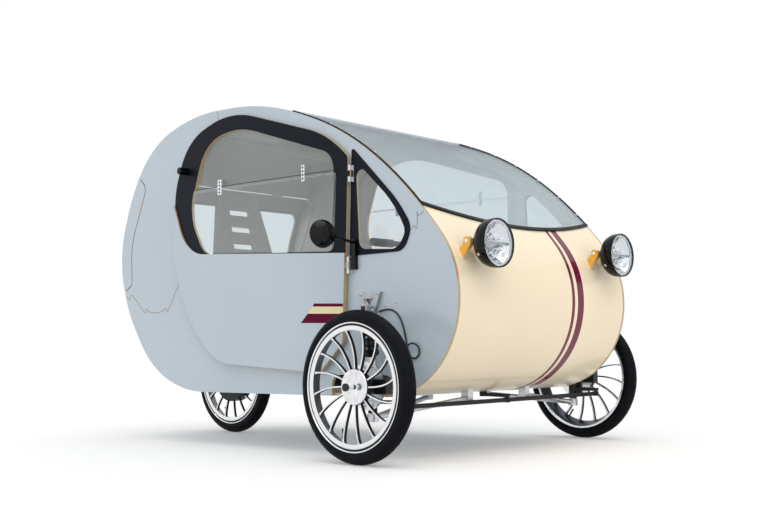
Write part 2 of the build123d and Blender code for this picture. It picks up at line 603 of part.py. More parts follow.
back_cushion = recline * Pos(0, SEAT_RISE / 2 + 40, SEAT_T / 2 + 0.3 + CUSHION_T / 2) * Box(
    2 * SEAT_HALF - 20, SEAT_RISE - 80, CUSHION_T
)
parts["seat_cushions"] = Compound([cushion, back_cushion])
parts["battery"] = block(SEAT_X0 + 40, SEAT_X1 - 60, -150, 150, BODY_BOTTOM + SHELL_T, BODY_BOTTOM + SHELL_T + 85)

# ---------------------------------------------------------------- roof ribs
ribs = []
for x in (-560, -260, 60):
    rib = slab(inside & (Plane.XZ * Pos(x, 1300) * Rectangle(30, 240)), -INNER, INNER)
    rib &= slab(rounded(BODY_OUTLINE, SHELL_T) - rounded(BODY_OUTLINE, SHELL_T + 18), -INNER, INNER)
    ribs.append(rib)
parts["roof_ribs"] = Compound(ribs)

# ---------------------------------------------------------------- hatch hinges
seam_at, hinge_normal = outline_point(HATCH_TOP)
hatch_axis = seam_at + hinge_normal * HINGE_R
body_block = slab(rounded(BODY_OUTLINE), -HALF, HALF)
hatch_hinges = []
for y in (-300, 300):
    centre = hatch_axis + Vector(0, y, 0)
    across = Vector(0, 1, 0)
    place = Plane(origin=centre - hinge_normal * HINGE_R, x_dir=-across, z_dir=hinge_normal)
    pin = rod(centre - across * 30, centre + across * 30, HINGE_PIN_R)
    ends = rod(centre - across * 30, centre - across * 11, HINGE_R)
    ends += rod(centre + across * 11, centre + across * 30, HINGE_R)
    leaf = place * Pos(-20.5, HINGE_LEAF / 2 + 1, 0) * Box(19, HINGE_LEAF, 6)
    leaf += place * Pos(20.5, HINGE_LEAF / 2 + 1, 0) * Box(19, HINGE_LEAF, 6)
    hatch_hinges.append(pin + ends + (leaf - body_block))
    eye = rod(centre - across * 10, centre + across * 10, HINGE_R)
    eye += place * Pos(0, -HINGE_LEAF / 2, 0) * Box(20, HINGE_LEAF, 6)
    parts["rear_hatch"] += eye - rod(centre - across * 40, centre + across * 40, HINGE_PIN_R + RUN_FIT)
parts["hatch_hinges"] = Compound(hatch_hinges)

# ---------------------------------------------------------------- lamps, mirrors, cables
lamp_axis = Plane(origin=(LAMP_X, -LAMP_Y, LAMP_Z), x_dir=(0, 0, 1), z_dir=(1, 0, 0))
bowl = revolve(
    Plane.XZ * make_face(Polyline((0, 0), (LAMP_R, 0), (LAMP_R, -24), (66, -46), (40, 4 - LAMP_DEPTH), (0, -LAMP_DEPTH), close=True)),
    Axis.Z,
)
bowl = lamp_axis * bowl
lens_r = LAMP_R - 6
dome_r = (lens_r ** 2 + LENS_DOME ** 2) / (2 * LENS_DOME)
lens_half = Pos(0, LENS_DOME - dome_r) * Circle(dome_r)
lens_half &= Pos(lens_r / 2, LENS_DOME / 2) * Rectangle(lens_r, LENS_DOME)
lens = lamp_axis * revolve(Plane.XZ * lens_half, Axis.Z)
bracket = block(LAMP_X - LAMP_DEPTH - 60, LAMP_X - 30, -LAMP_Y - 6, -LAMP_Y + 6, LAMP_Z - 45, LAMP_Z + 25)
bracket -= slab(rounded(BODY_OUTLINE), -HALF, HALF)
bracket -= bowl
parts["headlight_housings"] = both_sides(bowl)
parts["headlight_lenses"] = both_sides(lens)
parts["headlight_brackets"] = both_sides(bracket)

mirror_turn = radians(MIRROR_TURN)
mirror_plane = Plane(
    origin=(MIRROR_AT[0], -MIRROR_AT[1], MIRROR_AT[2]), x_dir=(0, 0, 1),
    z_dir=(cos(mirror_turn), -sin(mirror_turn), 0),
)
head = revolve(
    Plane.XZ * make_face([
        Line((0, 0), (MIRROR_R, 0)),
        ThreePointArc((MIRROR_R, 0), (MIRROR_R * 0.72, MIRROR_DEPTH * 0.7), (0, MIRROR_DEPTH)),
        Line((0, MIRROR_DEPTH), (0, 0)),
    ]),
    Axis.Z,
)
head = mirror_plane * head
mount = block(520, 541, -HALF - 14, -HALF, 657, 764) - quarter_frame
arm = rod((530, -HALF - 10, 752), (MIRROR_AT[0] + 14, -MIRROR_AT[1] + 4, MIRROR_AT[2]), 5)
parts["mirrors"] = both_sides(head + arm + mount)

# brake hoses from the towers along the panels to their grommets
hose_y = -HALF - HOSE_R - 0.5
hose_points = [(645, 505), (702, 512), (739, 490), (761, 439), (771, 385), (786, 332)]
hose_path = Spline(*[(x, hose_y, z) for x, z in hose_points])
hose = sweep(Plane(origin=hose_path @ 0, z_dir=hose_path % 0) * Circle(HOSE_R), path=hose_path)
grommet = rod((786, hose_y - 5, 332), (786, -HALF, 332), 7)
loop = Pos(800, hose_y, 374) * Rot(90, 0, 0) * Torus(21, HOSE_R)
parts["brake_hoses"] = both_sides(hose + grommet + loop)

for name, node in parts.items():
    export_step(node, f"parts/{name}.step")
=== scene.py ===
from math import atan2, cos, hypot, pi, radians, sin

import bpy
from mathutils import Matrix, Vector

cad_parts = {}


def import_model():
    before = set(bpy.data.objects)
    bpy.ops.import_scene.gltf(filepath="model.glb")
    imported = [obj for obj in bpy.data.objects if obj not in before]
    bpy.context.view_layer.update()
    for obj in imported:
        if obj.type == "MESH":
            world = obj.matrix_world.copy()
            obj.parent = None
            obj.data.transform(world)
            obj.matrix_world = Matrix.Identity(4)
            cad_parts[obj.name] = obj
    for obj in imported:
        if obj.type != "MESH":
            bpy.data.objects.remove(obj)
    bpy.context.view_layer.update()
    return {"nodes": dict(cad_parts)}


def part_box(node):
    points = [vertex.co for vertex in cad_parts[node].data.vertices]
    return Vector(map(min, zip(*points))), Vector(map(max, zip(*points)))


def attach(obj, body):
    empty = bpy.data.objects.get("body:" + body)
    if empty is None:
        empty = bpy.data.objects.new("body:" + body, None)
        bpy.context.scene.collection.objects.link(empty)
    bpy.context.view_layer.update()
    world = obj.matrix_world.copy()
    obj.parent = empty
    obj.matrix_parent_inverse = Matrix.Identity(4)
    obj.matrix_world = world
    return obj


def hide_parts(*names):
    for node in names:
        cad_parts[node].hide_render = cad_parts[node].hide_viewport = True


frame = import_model()
scene = bpy.context.scene

# Metres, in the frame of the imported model: +X towards the nose, +Y to the left, +Z up.
# ---- camera
IMAGE_W = 768
SENSOR = 36.0
FOCAL_PX = 1067.3
CAMERA_AT = Vector((3.199, -3.15, 0.377))
YAW = radians(133.74)
PITCH = radians(4.98)
ROLL = radians(-0.745)


# ---- places read from the frame
def side_y(node, corner=0):
    """How far a right-hand node's outer side (corner 0) or inner side (1) lies from the middle plane."""
    return -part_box(node)[corner].y


def middle(node):
    low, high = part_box(node)
    return (low + high) / 2


def corners_of(node):
    return [v.co for v in frame["nodes"][node].data.vertices]


PANEL_OUT = side_y("side_panel_right")
PANEL_IN = side_y("side_panel_right", 1)
DOOR_OUT = side_y("door_skin_right")
DOOR_IN = side_y("door_skin_right", 1)
FLAP_OUT = side_y("door_panes_right")
PANE_T = 0.003
FRAME_OUT = FLAP_OUT - PANE_T  # the flap lies on the window frame
WHEEL_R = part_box("tyre_rear")[1].z / 2
TYRE_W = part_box("tyre_rear")[1].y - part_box("tyre_rear")[0].y
FRONT_X = middle("tyre_front_right").x
REAR_X = middle("tyre_rear").x
STUB_FROM = side_y("wheel_front_right") - 0.004  # the bright spacer starts inside the hub's face
STUB_TO = side_y("knuckle_right") - 0.0082  # and ends under the nut
RIM_R = 0.206  # tyre seat of a rim, and its inner edge
RIM_IN = 0.186

# ---- materials' nodes
NOISE_LOW, NOISE_HIGH = 0.3, 0.7  # a noise texture stays mostly between these


def linear(colour, factor=1.0):
    """sRGB from 0 to 255 as the linear colour that a shader takes, made lighter or darker by a factor."""
    def one(c):
        c /= 255
        return c / 12.92 if c <= 0.04045 else ((c + 0.055) / 1.055) ** 2.4
    return tuple(one(c) * factor for c in colour) + (1.0,)


class Graph:
    """A node tree, with sockets set or linked by name or number."""

    def __init__(self, tree):
        self.tree = tree

    def add(self, kind, inputs=(), **settings):
        node = self.tree.nodes.new("ShaderNode" + kind)
        for key, value in settings.items():
            setattr(node, key, value)
        for key, value in dict(inputs).items():
            self.feed(node.inputs[key], value)
        return node

    def feed(self, socket, value):
        if isinstance(value, bpy.types.NodeSocket):
            self.tree.links.new(value, socket)
        else:
            socket.default_value = value

    def math(self, operation, *values):
        return self.add("Math", enumerate(values), operation=operation).outputs[0]

    def any_ray(self, *kinds):
        """1 for a ray of any of the kinds."""
        paths = self.add("LightPath").outputs
        value = 0.0
        for kind in kinds:
            value = self.math("MAXIMUM", value, paths[f"Is {kind} Ray"])
        return value


class Material(Graph):
    """A material around the Principled shader."""

    def __init__(self, name):
        self.material = bpy.data.materials.new(name)
        self.material.use_nodes = True
        super().__init__(self.material.node_tree)
        self.shader = self.tree.nodes["Principled BSDF"]
        self.output = self.tree.nodes["Material Output"]
        coords = self.add("TexCoord")
        self.place = coords.outputs["Object"]
        self.normal = coords.outputs["Normal"]

    def set(self, **values):
        for key, value in values.items():
            self.feed(self.shader.inputs[key.replace("_", " ")], value)
        return self.material

    def surface(self, shader):
        self.feed(self.output.inputs["Surface"], shader)

    def axis(self, vector, name):
        return self.add("SeparateXYZ", {0: vector}).outputs[name]

    def out_y(self):
        """Distance from the middle plane."""
        return self.math("ABSOLUTE", self.axis(self.place, "Y"))

    def facing_y(self):
        """1 where the surface faces sideways, 0 where it is seen on edge."""
        return self.math("ABSOLUTE", self.axis(self.normal, "Y"))

    def faces_in(self):
        """1 where the surface faces the middle of the body's outline."""
        arm = self.add("VectorMath", {0: self.place, 1: BODY_MIDDLE}, operation="SUBTRACT").outputs[0]
        dot = self.add("VectorMath", {0: arm, 1: self.normal}, operation="DOT_PRODUCT")
        return self.math("LESS_THAN", dot.outputs["Value"], 0.0)

    def noise(self, scale, detail=3.0, stretch=(1, 1, 1)):
        place = self.add("Mapping", {"Vector": self.place, "Scale": stretch}).outputs[0]
        return self.add("TexNoise", {"Vector": place, "Scale": scale, "Detail": detail}).outputs["Fac"]

    def spread(self, value, low, high):
        """A noise value spread over a range."""
        return self.add("MapRange", {"Value": value, "From Min": NOISE_LOW, "From Max": NOISE_HIGH,
                                     "To Min": low, "To Max": high}).outputs[0]

    def mix(self, factor, a, b):
        return self.add("Mix", {"Factor": factor, 6: a, 7: b}, data_type="RGBA").outputs[2]

    def blend(self, factor, a, b):
        return self.add("MixShader", {0: factor, 1: a, 2: b}).outputs[0]

    def bump(self, height, distance, strength):
        node = self.add("Bump", {"Strength": strength, "Distance": distance, "Height": height})
        self.feed(self.shader.inputs["Normal"], node.outputs[0])


# ---- materials
BLUE = (188, 201, 211)
CREAM = (255, 238, 206)
NAVY = (9, 16, 27)
PLY = (214, 184, 140)
PLY_DARK = (150, 112, 72)
TAUPE = (206, 202, 196)
STEEL = (200, 202, 205)
YELLOW = (244, 178, 44)
BODY_MIDDLE = (0.0, 0.0, 0.7)
PLY_PITCH = 0.0048  # one light and one dark ply
RIM_BELOW = 0.6  # a sheet's rim is where its normal turns this far from the side
FACE_ABOVE = 0.55  # a wheel's polished faces look sideways by more than this
PAINT_EDGE = 0.0005  # the inner paint starts this far outside a sheet's inner side
INSIDE_PANEL = PANEL_IN + PAINT_EDGE
INSIDE_DOOR = DOOR_IN + PAINT_EDGE
WALL_R = RIM_IN - 0.0035  # from here outwards a wheel's casting isn't black


def plywood_colour(g):
    """Edge of plywood: plies across the thickness, with grain along the sheet."""
    plies = g.math("SINE", g.math("MULTIPLY", g.axis(g.place, "Y"), 2 * pi / PLY_PITCH))
    ply = g.spread(g.math("ADD", g.math("MULTIPLY", plies, 0.2), 0.5), 0.0, 0.55)
    grain = g.noise(90, 4.0, (1, 3, 1))
    wood = g.mix(g.spread(grain, 0.0, 0.5), linear(PLY), linear(PLY, 0.72))
    return g.mix(ply, wood, linear(PLY_DARK))


def painted(g, colour):
    """Paint that is slightly uneven in tone and surface."""
    g.bump(g.noise(260, 2.0), 0.0002, 0.18)
    return g.mix(g.spread(g.noise(2.2, 2.0), 0.0, 1.0), linear(colour, 0.97), linear(colour, 1.02))


def paint(name, colour, roughness=0.24, wood_rim=True, inside=None, coat=0.35, gloss=0.5):
    """Glossy paint on upright plywood, plain from the distance called inside to the middle."""
    g = Material(name)
    tone = painted(g, colour)
    if inside is not None:
        tone = g.mix(g.math("LESS_THAN", g.out_y(), inside), tone, linear(TAUPE))
    if wood_rim:
        tone = g.mix(g.math("LESS_THAN", g.facing_y(), RIM_BELOW), tone, plywood_colour(g))
    g.set(Base_Color=tone, Roughness=roughness, Specular_IOR_Level=gloss)
    return g.set(Coat_Weight=coat, Coat_Roughness=0.06)


def hatch_paint(name, colour):
    """Bent sheet between two flat wings: painted outside, plain inside, wood at the wings' rims."""
    g = Material(name)
    wing = g.math("GREATER_THAN", g.out_y(), INSIDE_PANEL)
    rim = g.math("MULTIPLY", wing, g.math("LESS_THAN", g.facing_y(), RIM_BELOW))
    inner = g.math("MULTIPLY", g.faces_in(), g.math("SUBTRACT", 1.0, wing))
    tone = g.mix(rim, g.mix(inner, painted(g, colour), linear(TAUPE)), plywood_colour(g))
    return g.set(Base_Color=tone, Roughness=0.22, Coat_Weight=0.4, Coat_Roughness=0.06)


def bent_sheet(name, outer):
    """Bent sheet painted outside, plain inside, with the wood at its rims."""
    g = Material(name)
    rim = g.math("GREATER_THAN", g.facing_y(), RIM_BELOW)
    tone = g.mix(rim, g.mix(g.faces_in(), painted(g, outer), linear(TAUPE)), linear(PLY))
    return g.set(Base_Color=tone, Roughness=0.22, Coat_Weight=0.15, Coat_Roughness=0.06)


def plain(name, colour, roughness, metallic=0.0, grain=120, depth=0.0002, coat=0.0, vary=0.12, gloss=0.5):
    """One colour, slightly uneven in tone, surface and roughness."""
    g = Material(name)
    noise = g.noise(grain)
    tone = g.mix(g.spread(noise, 0.0, 1.0), linear(colour, 1 - vary), linear(colour, 1 + vary))
    g.bump(noise, depth, 0.3)
    rough = g.spread(g.noise(grain / 5), roughness * 0.85, roughness * 1.15)
    g.set(Base_Color=tone, Roughness=rough, Metallic=metallic, Specular_IOR_Level=gloss)
    return g.set(Coat_Weight=coat, Coat_Roughness=0.08)


def cast_wheel(name):
    """Polished faces on a black casting, with a grey wall inside the rim."""
    g = Material(name)
    face = g.math("GREATER_THAN", g.facing_y(), FACE_ABOVE)
    along = g.axis(g.place, "X")
    front = g.math("GREATER_THAN", along, 0.0)
    centre = g.math("ADD", REAR_X, g.math("MULTIPLY", front, FRONT_X - REAR_X))
    x = g.math("SUBTRACT", along, centre)
    z = g.math("SUBTRACT", g.axis(g.place, "Z"), WHEEL_R)
    radius = g.math("SQRT", g.math("ADD", g.math("MULTIPLY", x, x), g.math("MULTIPLY", z, z)))
    wall = g.math("GREATER_THAN", radius, WALL_R)
    noise = g.noise(70, 4.0)
    bright = g.mix(g.spread(noise, 0.0, 1.0), linear((216, 218, 221)), linear((240, 241, 243)))
    side = g.mix(wall, linear((8, 9, 11)), linear((74, 78, 84)))
    shiny = g.math("MAXIMUM", face, g.math("MULTIPLY", wall, 0.7))
    g.bump(noise, 0.0001, 0.12)
    g.set(Base_Color=g.mix(face, side, bright), Metallic=shiny, Specular_IOR_Level=0.25)
    return g.set(Roughness=g.math("SUBTRACT", 0.45, g.math("MULTIPLY", shiny, 0.25)))


def stub_metal(name):
    """Black upright, with a bright spacer on the stub axle and a black nut."""
    g = Material(name)
    out = g.out_y()
    spacer = g.math("MULTIPLY", g.math("GREATER_THAN", out, STUB_FROM), g.math("LESS_THAN", out, STUB_TO))
    tone = g.mix(spacer, linear((20, 21, 23)), linear((225, 227, 229)))
    g.bump(g.noise(120), 0.0002, 0.3)
    return g.set(Base_Color=tone, Metallic=spacer, Roughness=0.32, Specular_IOR_Level=0.35)


def rubber(name):
    g = Material(name)
    tone = g.mix(g.spread(g.noise(9), 0.0, 1.0), linear((5, 7, 12)), linear((11, 14, 20)))
    g.bump(g.noise(420), 0.0004, 0.3)
    return g.set(Base_Color=tone, Roughness=g.spread(g.noise(30), 0.45, 0.58), Specular_IOR_Level=0.1)


def clear(name, tint, haze, haze_colour, index=1.5):
    """Thin clear sheet: it lets light through, and reflects at a slant. Its back faces do nothing."""
    g = Material(name)
    g.set(Base_Color=linear(haze_colour), Roughness=0.3)
    through = g.add("BsdfTransparent", {0: linear(tint)}).outputs[0]
    nothing = g.add("BsdfTransparent").outputs[0]
    glance = g.add("Fresnel", {0: index}).outputs[0]
    gloss = g.add("BsdfGlossy", {"Roughness": 0.02}).outputs[0]
    smear = g.spread(g.noise(3.0), haze * 0.9, haze * 1.1)
    skin = g.blend(glance, g.blend(smear, through, g.shader.outputs[0]), gloss)
    lit = g.blend(g.any_ray("Shadow", "Diffuse"), skin, through)
    g.surface(g.blend(g.add("NewGeometry").outputs["Backfacing"], lit, nothing))
    return g.material


MATERIALS = {
    "panel": paint("panel_paint", BLUE, inside=INSIDE_PANEL),
    "hatch": hatch_paint("hatch_paint", BLUE),
    "door": paint("door_paint", BLUE, inside=INSIDE_DOOR),
    "frame": paint("window_frame_paint", NAVY, 0.4, inside=INSIDE_DOOR, coat=0.0, gloss=0.12),
    "quarter": paint("quarter_frame_paint", NAVY, 0.4, wood_rim=False, coat=0.0, gloss=0.12),
    "blue_sheet": bent_sheet("roof_paint", BLUE),
    "cream_sheet": bent_sheet("nose_paint", CREAM),
    "black_paint": plain("black_paint", (4, 5, 9), 0.14, gloss=0.22),
    "black_satin": plain("black_satin", (14, 15, 17), 0.42, gloss=0.3),
    "stub": stub_metal("stub_metal"),
    "trim": plain("screen_trim_rubber", (22, 26, 34), 0.5, gloss=0.2),
    "steel": plain("brushed_steel", STEEL, 0.3, 1.0, 60),
    "plate": plain("zinc_plate", (176, 179, 182), 0.45, 0.85, 40),
    "chrome": plain("chrome", (232, 234, 236), 0.1, 1.0, 30, vary=0.03),
    "wheel": cast_wheel("cast_wheel"),
    "tyre": rubber("tyre_rubber"),
    "rubber": plain("hose_rubber", (24, 24, 26), 0.5),
    "glass": clear("clear_pane", (240, 246, 248), 0.16, (222, 230, 232)),
    "screen": clear("screen_sheet", (232, 241, 245), 0.5, (240, 247, 249), 2.0),
    "lens": clear("lamp_lens_clear", (246, 248, 250), 0.03, (220, 228, 232)),
    "taupe": plain("inner_paint", TAUPE, 0.5),
    "yellow": paint("bracket_paint", YELLOW, 0.3),
    "burgundy": plain("burgundy_stripe", (92, 0, 42), 0.3, vary=0.04, gloss=0.08),
    "stripe_cream": plain("stripe_cream", (240, 224, 180), 0.3, vary=0.02, gloss=0.2),
    "nose_stripe": plain("nose_stripe", (112, 22, 56), 0.2, vary=0.04, gloss=0.4),
    "bracket": plain("inner_bracket_paint", CREAM, 0.22, coat=0.5, vary=0.02),
    "seam": plain("seam_wood", (150, 112, 66), 0.7),
    "fabric": plain("seat_fabric", (52, 54, 60), 0.85, grain=700, depth=0.0008),
    "white": plain("lamp_white", (240, 243, 246), 0.25, vary=0.03),
}

NODE_LOOKS = {
    "panel": "side_panel_right side_panel_left",
    "hatch": "rear_hatch",
    "door": "door_skin_right door_skin_left",
    "frame": "door_frame_right door_frame_left",
    "quarter": "quarter_frames",
    "blue_sheet": "roof_shell rear_shell floor_panel",
    "cream_sheet": "front_shell",
    "screen": "windscreen",
    "trim": "windscreen_trim",
    "glass": "rear_window door_panes_right door_panes_left quarter_panes",
    "steel": "door_hinges hatch_hinges lower_arms",
    "plate": "shock_towers swing_arm pedal_post",
    "wheel": "wheel_front_right wheel_front_left wheel_rear",
    "tyre": "tyre_front_right tyre_front_left tyre_rear",
    "stub": "knuckle_right knuckle_left",
    "black_satin": "hub_motor shocks tiller crankset tie_rod pedal_right pedal_left battery",
    "black_paint": "headlight_housings mirrors",
    "lens": "headlight_lenses",
    "bracket": "headlight_brackets",
    "taupe": "wheel_well seat_back seat_frame roof_ribs",
    "fabric": "seat_cushions",
    "rubber": "brake_hoses",
}
for look, nodes in NODE_LOOKS.items():
    for node in nodes.split():
        mesh = frame["nodes"][node].data
        mesh.materials.clear()
        mesh.materials.append(MATERIALS[look])

# ---- meshes
NEAR_AXIS = 0.0001  # radius at which a lathed form ends on its axis


def linked(name, data):
    """A new object in the scene."""
    obj = bpy.data.objects.new(name, data)
    scene.collection.objects.link(obj)
    return obj


def grid_faces(rows, size, round_rows=False, round_ring=False, flip=False):
    """Faces between rows of points, all of one size; the rows and each row may close in a round."""
    faces = []
    for j in range(rows if round_rows else rows - 1):
        for k in range(size if round_ring else size - 1):
            j2, k2 = (j + 1) % rows, (k + 1) % size
            a, b, c, d = j * size + k, j * size + k2, j2 * size + k2, j2 * size + k
            faces.append((a, d, c, b) if flip else (a, b, c, d))
    return faces


def turned(at, direction):
    """Place at a point, with its Z axis along a direction."""
    rotation = Vector(direction).to_track_quat("Z", "Y").to_matrix().to_4x4()
    return Matrix.Translation(Vector(at)) @ rotation


def around(count):
    """Angles of one turn in equal steps."""
    return [2 * pi * k / count for k in range(count)]


class Shape:
    """Vertices and faces gathered from several forms."""

    def __init__(self):
        self.verts = []
        self.faces = []

    def add(self, verts, faces):
        start = len(self.verts)
        self.verts += [Vector(v) for v in verts]
        self.faces += [tuple(start + i for i in f) for f in faces]
        return self

    def lathe(self, profile, turns, place, closed=False):
        """Profile of (radius, height) turned about the Z axis of place."""
        verts = []
        for a in around(turns):
            verts += [place @ Vector((r * cos(a), r * sin(a), h)) for r, h in profile]
        return self.add(verts, grid_faces(turns, len(profile), True, closed, flip=True))

    def sweep(self, columns):
        """Closed skin over columns of points, each column a closed ring."""
        n = len(columns[0])
        ends = [tuple(range(n))[::-1], tuple((len(columns) - 1) * n + k for k in range(n))]
        points = [p for column in columns for p in column]
        return self.add(points, ends + grid_faces(len(columns), n, round_ring=True))

    def tube(self, points, radius, sides):
        """Round rod along points."""
        columns = []
        side = (points[1] - points[0]).orthogonal().normalized()
        for i, p in enumerate(points):
            ahead = (points[min(i + 1, len(points) - 1)] - points[max(i - 1, 0)]).normalized()
            side = (side - ahead * side.dot(ahead)).normalized()
            up = ahead.cross(side)
            columns.append([p + radius * (cos(a) * side + sin(a) * up) for a in around(sides)])
        return self.sweep(columns)

    def sheet(self, outline, y0, y1):
        """Flat plate between y0 and y1 over an outline of (x, z)."""
        n = len(outline)
        verts = [(x, y0, z) for x, z in outline] + [(x, y1, z) for x, z in outline]
        faces = [tuple(range(n)), tuple(range(n, 2 * n))[::-1]]
        faces += [(i, n + i, n + (i + 1) % n, (i + 1) % n) for i in range(n)]
        return self.add(verts, faces)

    def block(self, x0, x1, z0, z1, y0, y1):
        return self.sheet([(x0, z0), (x1, z0), (x1, z1), (x0, z1)], y0, y1)

    def ribbon(self, points, width, y0, y1):
        """Narrow band along a line of (x, z)."""
        columns = []
        for i, (x, z) in enumerate(points):
            (xa, za), (xb, zb) = points[max(i - 1, 0)], points[min(i + 1, len(points) - 1)]
            half = width / 2 / hypot(xb - xa, zb - za)
            x0, x1 = x + (zb - za) * half, x - (zb - za) * half
            z0, z1 = z - (xb - xa) * half, z + (xb - xa) * half
            columns.append([(x0, y0, z0), (x1, y0, z1), (x1, y1, z1), (x0, y1, z0)])
        self.sweep(columns)

    def head(self, at, normal, radius, height, recess=0.4, sides=16):
        """Domed screw head with a hollow in its middle."""
        profile = [(1, -0.2), (1, 0.25), (0.8, 0.75), (0.5, 1), (recess, 1), (recess * 0.8, 0.4)]
        profile = [(radius * r, height * h) for r, h in profile] + [(NEAR_AXIS, height * 0.4)]
        return self.lathe(profile, sides, turned(at, normal))

    def mirrored(self):
        return Shape().add([(v.x, -v.y, v.z) for v in self.verts], [f[::-1] for f in self.faces])

    def merged(self):
        """The same form, with corners in one place joined."""
        index, kept, joined = {}, [], []
        for p in self.verts:
            key = tuple(round(c, 6) for c in p)
            if key not in index:
                index[key] = len(kept)
                kept.append(p)
            joined.append(index[key])
        return Shape().add(kept, [[joined[i] for i in f] for f in self.faces])

    def mesh(self, name):
        mesh = bpy.data.meshes.new(name)
        mesh.from_pydata(self.verts, [], self.faces)
        return mesh

    def piece(self, name, look, body="body", slot=None, crease=35, node=None):
        """The form as a piece that rides on a body, in place of a node where one is named."""
        mesh = self.mesh(name)
        mesh.validate()
        mesh.shade_smooth()
        mesh.set_sharp_from_angle(angle=radians(crease))
        mesh.materials.append(MATERIALS[look])
        obj = linked(name, mesh)
        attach(obj, body)
        if node:
            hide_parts(node)
        return obj


def spread(start, end, count):
    """Values from start to end in equal steps."""
    return [start + (end - start) * k / count for k in range(count + 1)]


def smooth_line(points, steps):
    """Catmull-Rom line through points of (x, z)."""
    def between(a, b, c, d, t):
        return 0.5 * (2 * b + (c - a) * t + (2 * a - 5 * b + 4 * c - d) * t ** 2
                      + (3 * b - a - 3 * c + d) * t ** 3)

    line = []
    for i in range(len(points) - 1):
        four = [points[max(i - 1, 0)], points[i], points[i + 1], points[min(i + 2, len(points) - 1)]]
        line += [tuple(between(*values, k / steps) for values in zip(*four)) for k in range(steps)]
    return line + [points[-1]]


# ---- nose, windscreen and its rubber
NOSE_FROM_X = 0.655  # the nose's outline starts ahead of this, at the floor
GLASS_ABOVE = 0.7  # the windscreen's foot lies above this height
SHEET_END = (0.83, 0.8)  # corners of the nose sheet behind this x and above this height are left out
FAN_X = -0.4  # the windscreen's corners follow each other in angle round this x
JOIN_STEP = 0.004  # least rise from the nose sheet's last corner to the windscreen's first


def turn_of(a, b, c):
    return (b[0] - a[0]) * (c[1] - a[1]) - (b[1] - a[1]) * (c[0] - a[0])


def convex_chain(points):
    """Half of the convex hull of sorted points."""
    chain = []
    for p in points:
        while len(chain) > 1 and turn_of(chain[-2], chain[-1], p) <= 0:
            chain.pop()
        chain.append(p)
    return chain


def rim_points(node):
    """Corners of (x, z) at the left rim of a bent sheet."""
    verts = corners_of(node)
    rim = max(v.y for v in verts)
    return sorted({(round(v.x, 5), round(v.z, 5)) for v in verts if abs(v.y - rim) < 1e-4})


def nose_outline():
    """Outer line of the nose sheet, which is convex, from the floor up, and on under the windscreen."""
    points = rim_points("front_shell")
    hull = convex_chain(points) + convex_chain(points[::-1])[1:]
    line = [p for p in hull if p[0] > NOSE_FROM_X and (p[0] > SHEET_END[0] or p[1] < SHEET_END[1])]
    glass = sorted(rim_points("windscreen"), key=lambda p: atan2(p[1], p[0] - FAN_X))
    pairs = zip(glass[0::2], glass[1::2])
    inner = [min(pair, key=lambda p: hypot(p[0] - FAN_X, p[1])) for pair in pairs]
    return line + [p for p in inner if p[1] > line[-1][1] + JOIN_STEP]


class Outline:
    """A line of (x, z) measured along its length, with its outward normals."""

    def __init__(self, points):
        self.points = [Vector(p) for p in points]
        self.at = [0.0]
        for p, q in zip(self.points, self.points[1:]):
            self.at.append(self.at[-1] + (q - p).length)
        self.normals = []
        for i in range(len(self.points)):
            ahead = self.points[min(i + 1, len(self.points) - 1)] - self.points[max(i - 1, 0)]
            self.normals.append(Vector((ahead.y, -ahead.x)).normalized())

    def place(self, s, lift):
        """Point at a length along the line, lifted along the normal."""
        s = min(max(s, 0.0), self.at[-1])
        i = sum(passed < s for passed in self.at[1:-1])
        t = (s - self.at[i]) / (self.at[i + 1] - self.at[i])
        p = self.points[i].lerp(self.points[i + 1], t)
        return p + lift * self.normals[i].lerp(self.normals[i + 1], t).normalized()

    def length_at(self, x):
        """Length at which the line passes back over x, above the windscreen's foot."""
        for i, (p, q) in enumerate(zip(self.points, self.points[1:])):
            if p.y > GLASS_ABOVE and (p.x - x) * (q.x - x) <= 0 and p.x != q.x:
                return self.at[i] + (p.x - x) / (p.x - q.x) * (self.at[i + 1] - self.at[i])
        return self.at[-1]


NOSE = Outline(nose_outline())
SCREEN_HALF = 0.497  # half width of the windscreen on the panels' edges
SCREEN_T = 0.004
SCREEN_SAG = 0.045  # its foot reaches this much further forward in the middle
SCREEN_FOOT_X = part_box("windscreen")[1].x - 0.0027  # where the foot meets the panels
SAG_R = (PANEL_IN ** 2 + SCREEN_SAG ** 2) / (2 * SCREEN_SAG)
SAG_X = SCREEN_FOOT_X + SCREEN_SAG - SAG_R
SCREEN_ACROSS = spread(-SCREEN_HALF, SCREEN_HALF, 56)
BED = 0.0003  # air between the outline and a sheet laid on it
TRIM_LAP = 0.009  # the rubber covers this much of the glass, and this much of the nose
TRIM_W = 0.006
TRIM_SECTION = [  # along the outline from the foot, and lift
    (TRIM_LAP, 0.0042), (TRIM_LAP, 0.006), (TRIM_LAP - 0.001, 0.007), (0.001 - TRIM_W, 0.007),
    (-TRIM_W, 0.0056), (-TRIM_W, BED), (-0.0004, BED), (-0.0004, 0.0042),
]
NOSE_LAP = 0.012  # the nose sheet runs on this far under the windscreen
KNIFE_TOP = 1.2
KNIFE_TURNS = 720
NOSE_STRIPES = [(0.146, 0.163), (0.183, 0.221)]  # from y to y
STRIPE_FOOT = 0.004  # the stripes start this far along the outline
STRIPE_UNDER = 0.001  # and end this far under the rubber
FILM_OVER = 0.0006
FILM_UNDER = -0.0002


def foot_length(y):
    """Length along the outline at which the windscreen's foot lies, at a place across the body."""
    return NOSE.length_at(SAG_X + (SAG_R ** 2 - y * y) ** 0.5)


def lay(across, ring):
    """Skin over rings of (length, lift) on the outline, one for each place across the body."""
    columns = []
    for y in across:
        places = [NOSE.place(length, lift) for length, lift in ring(y)]
        columns.append([(p.x, y, p.y) for p in places])
    return Shape().sweep(columns)


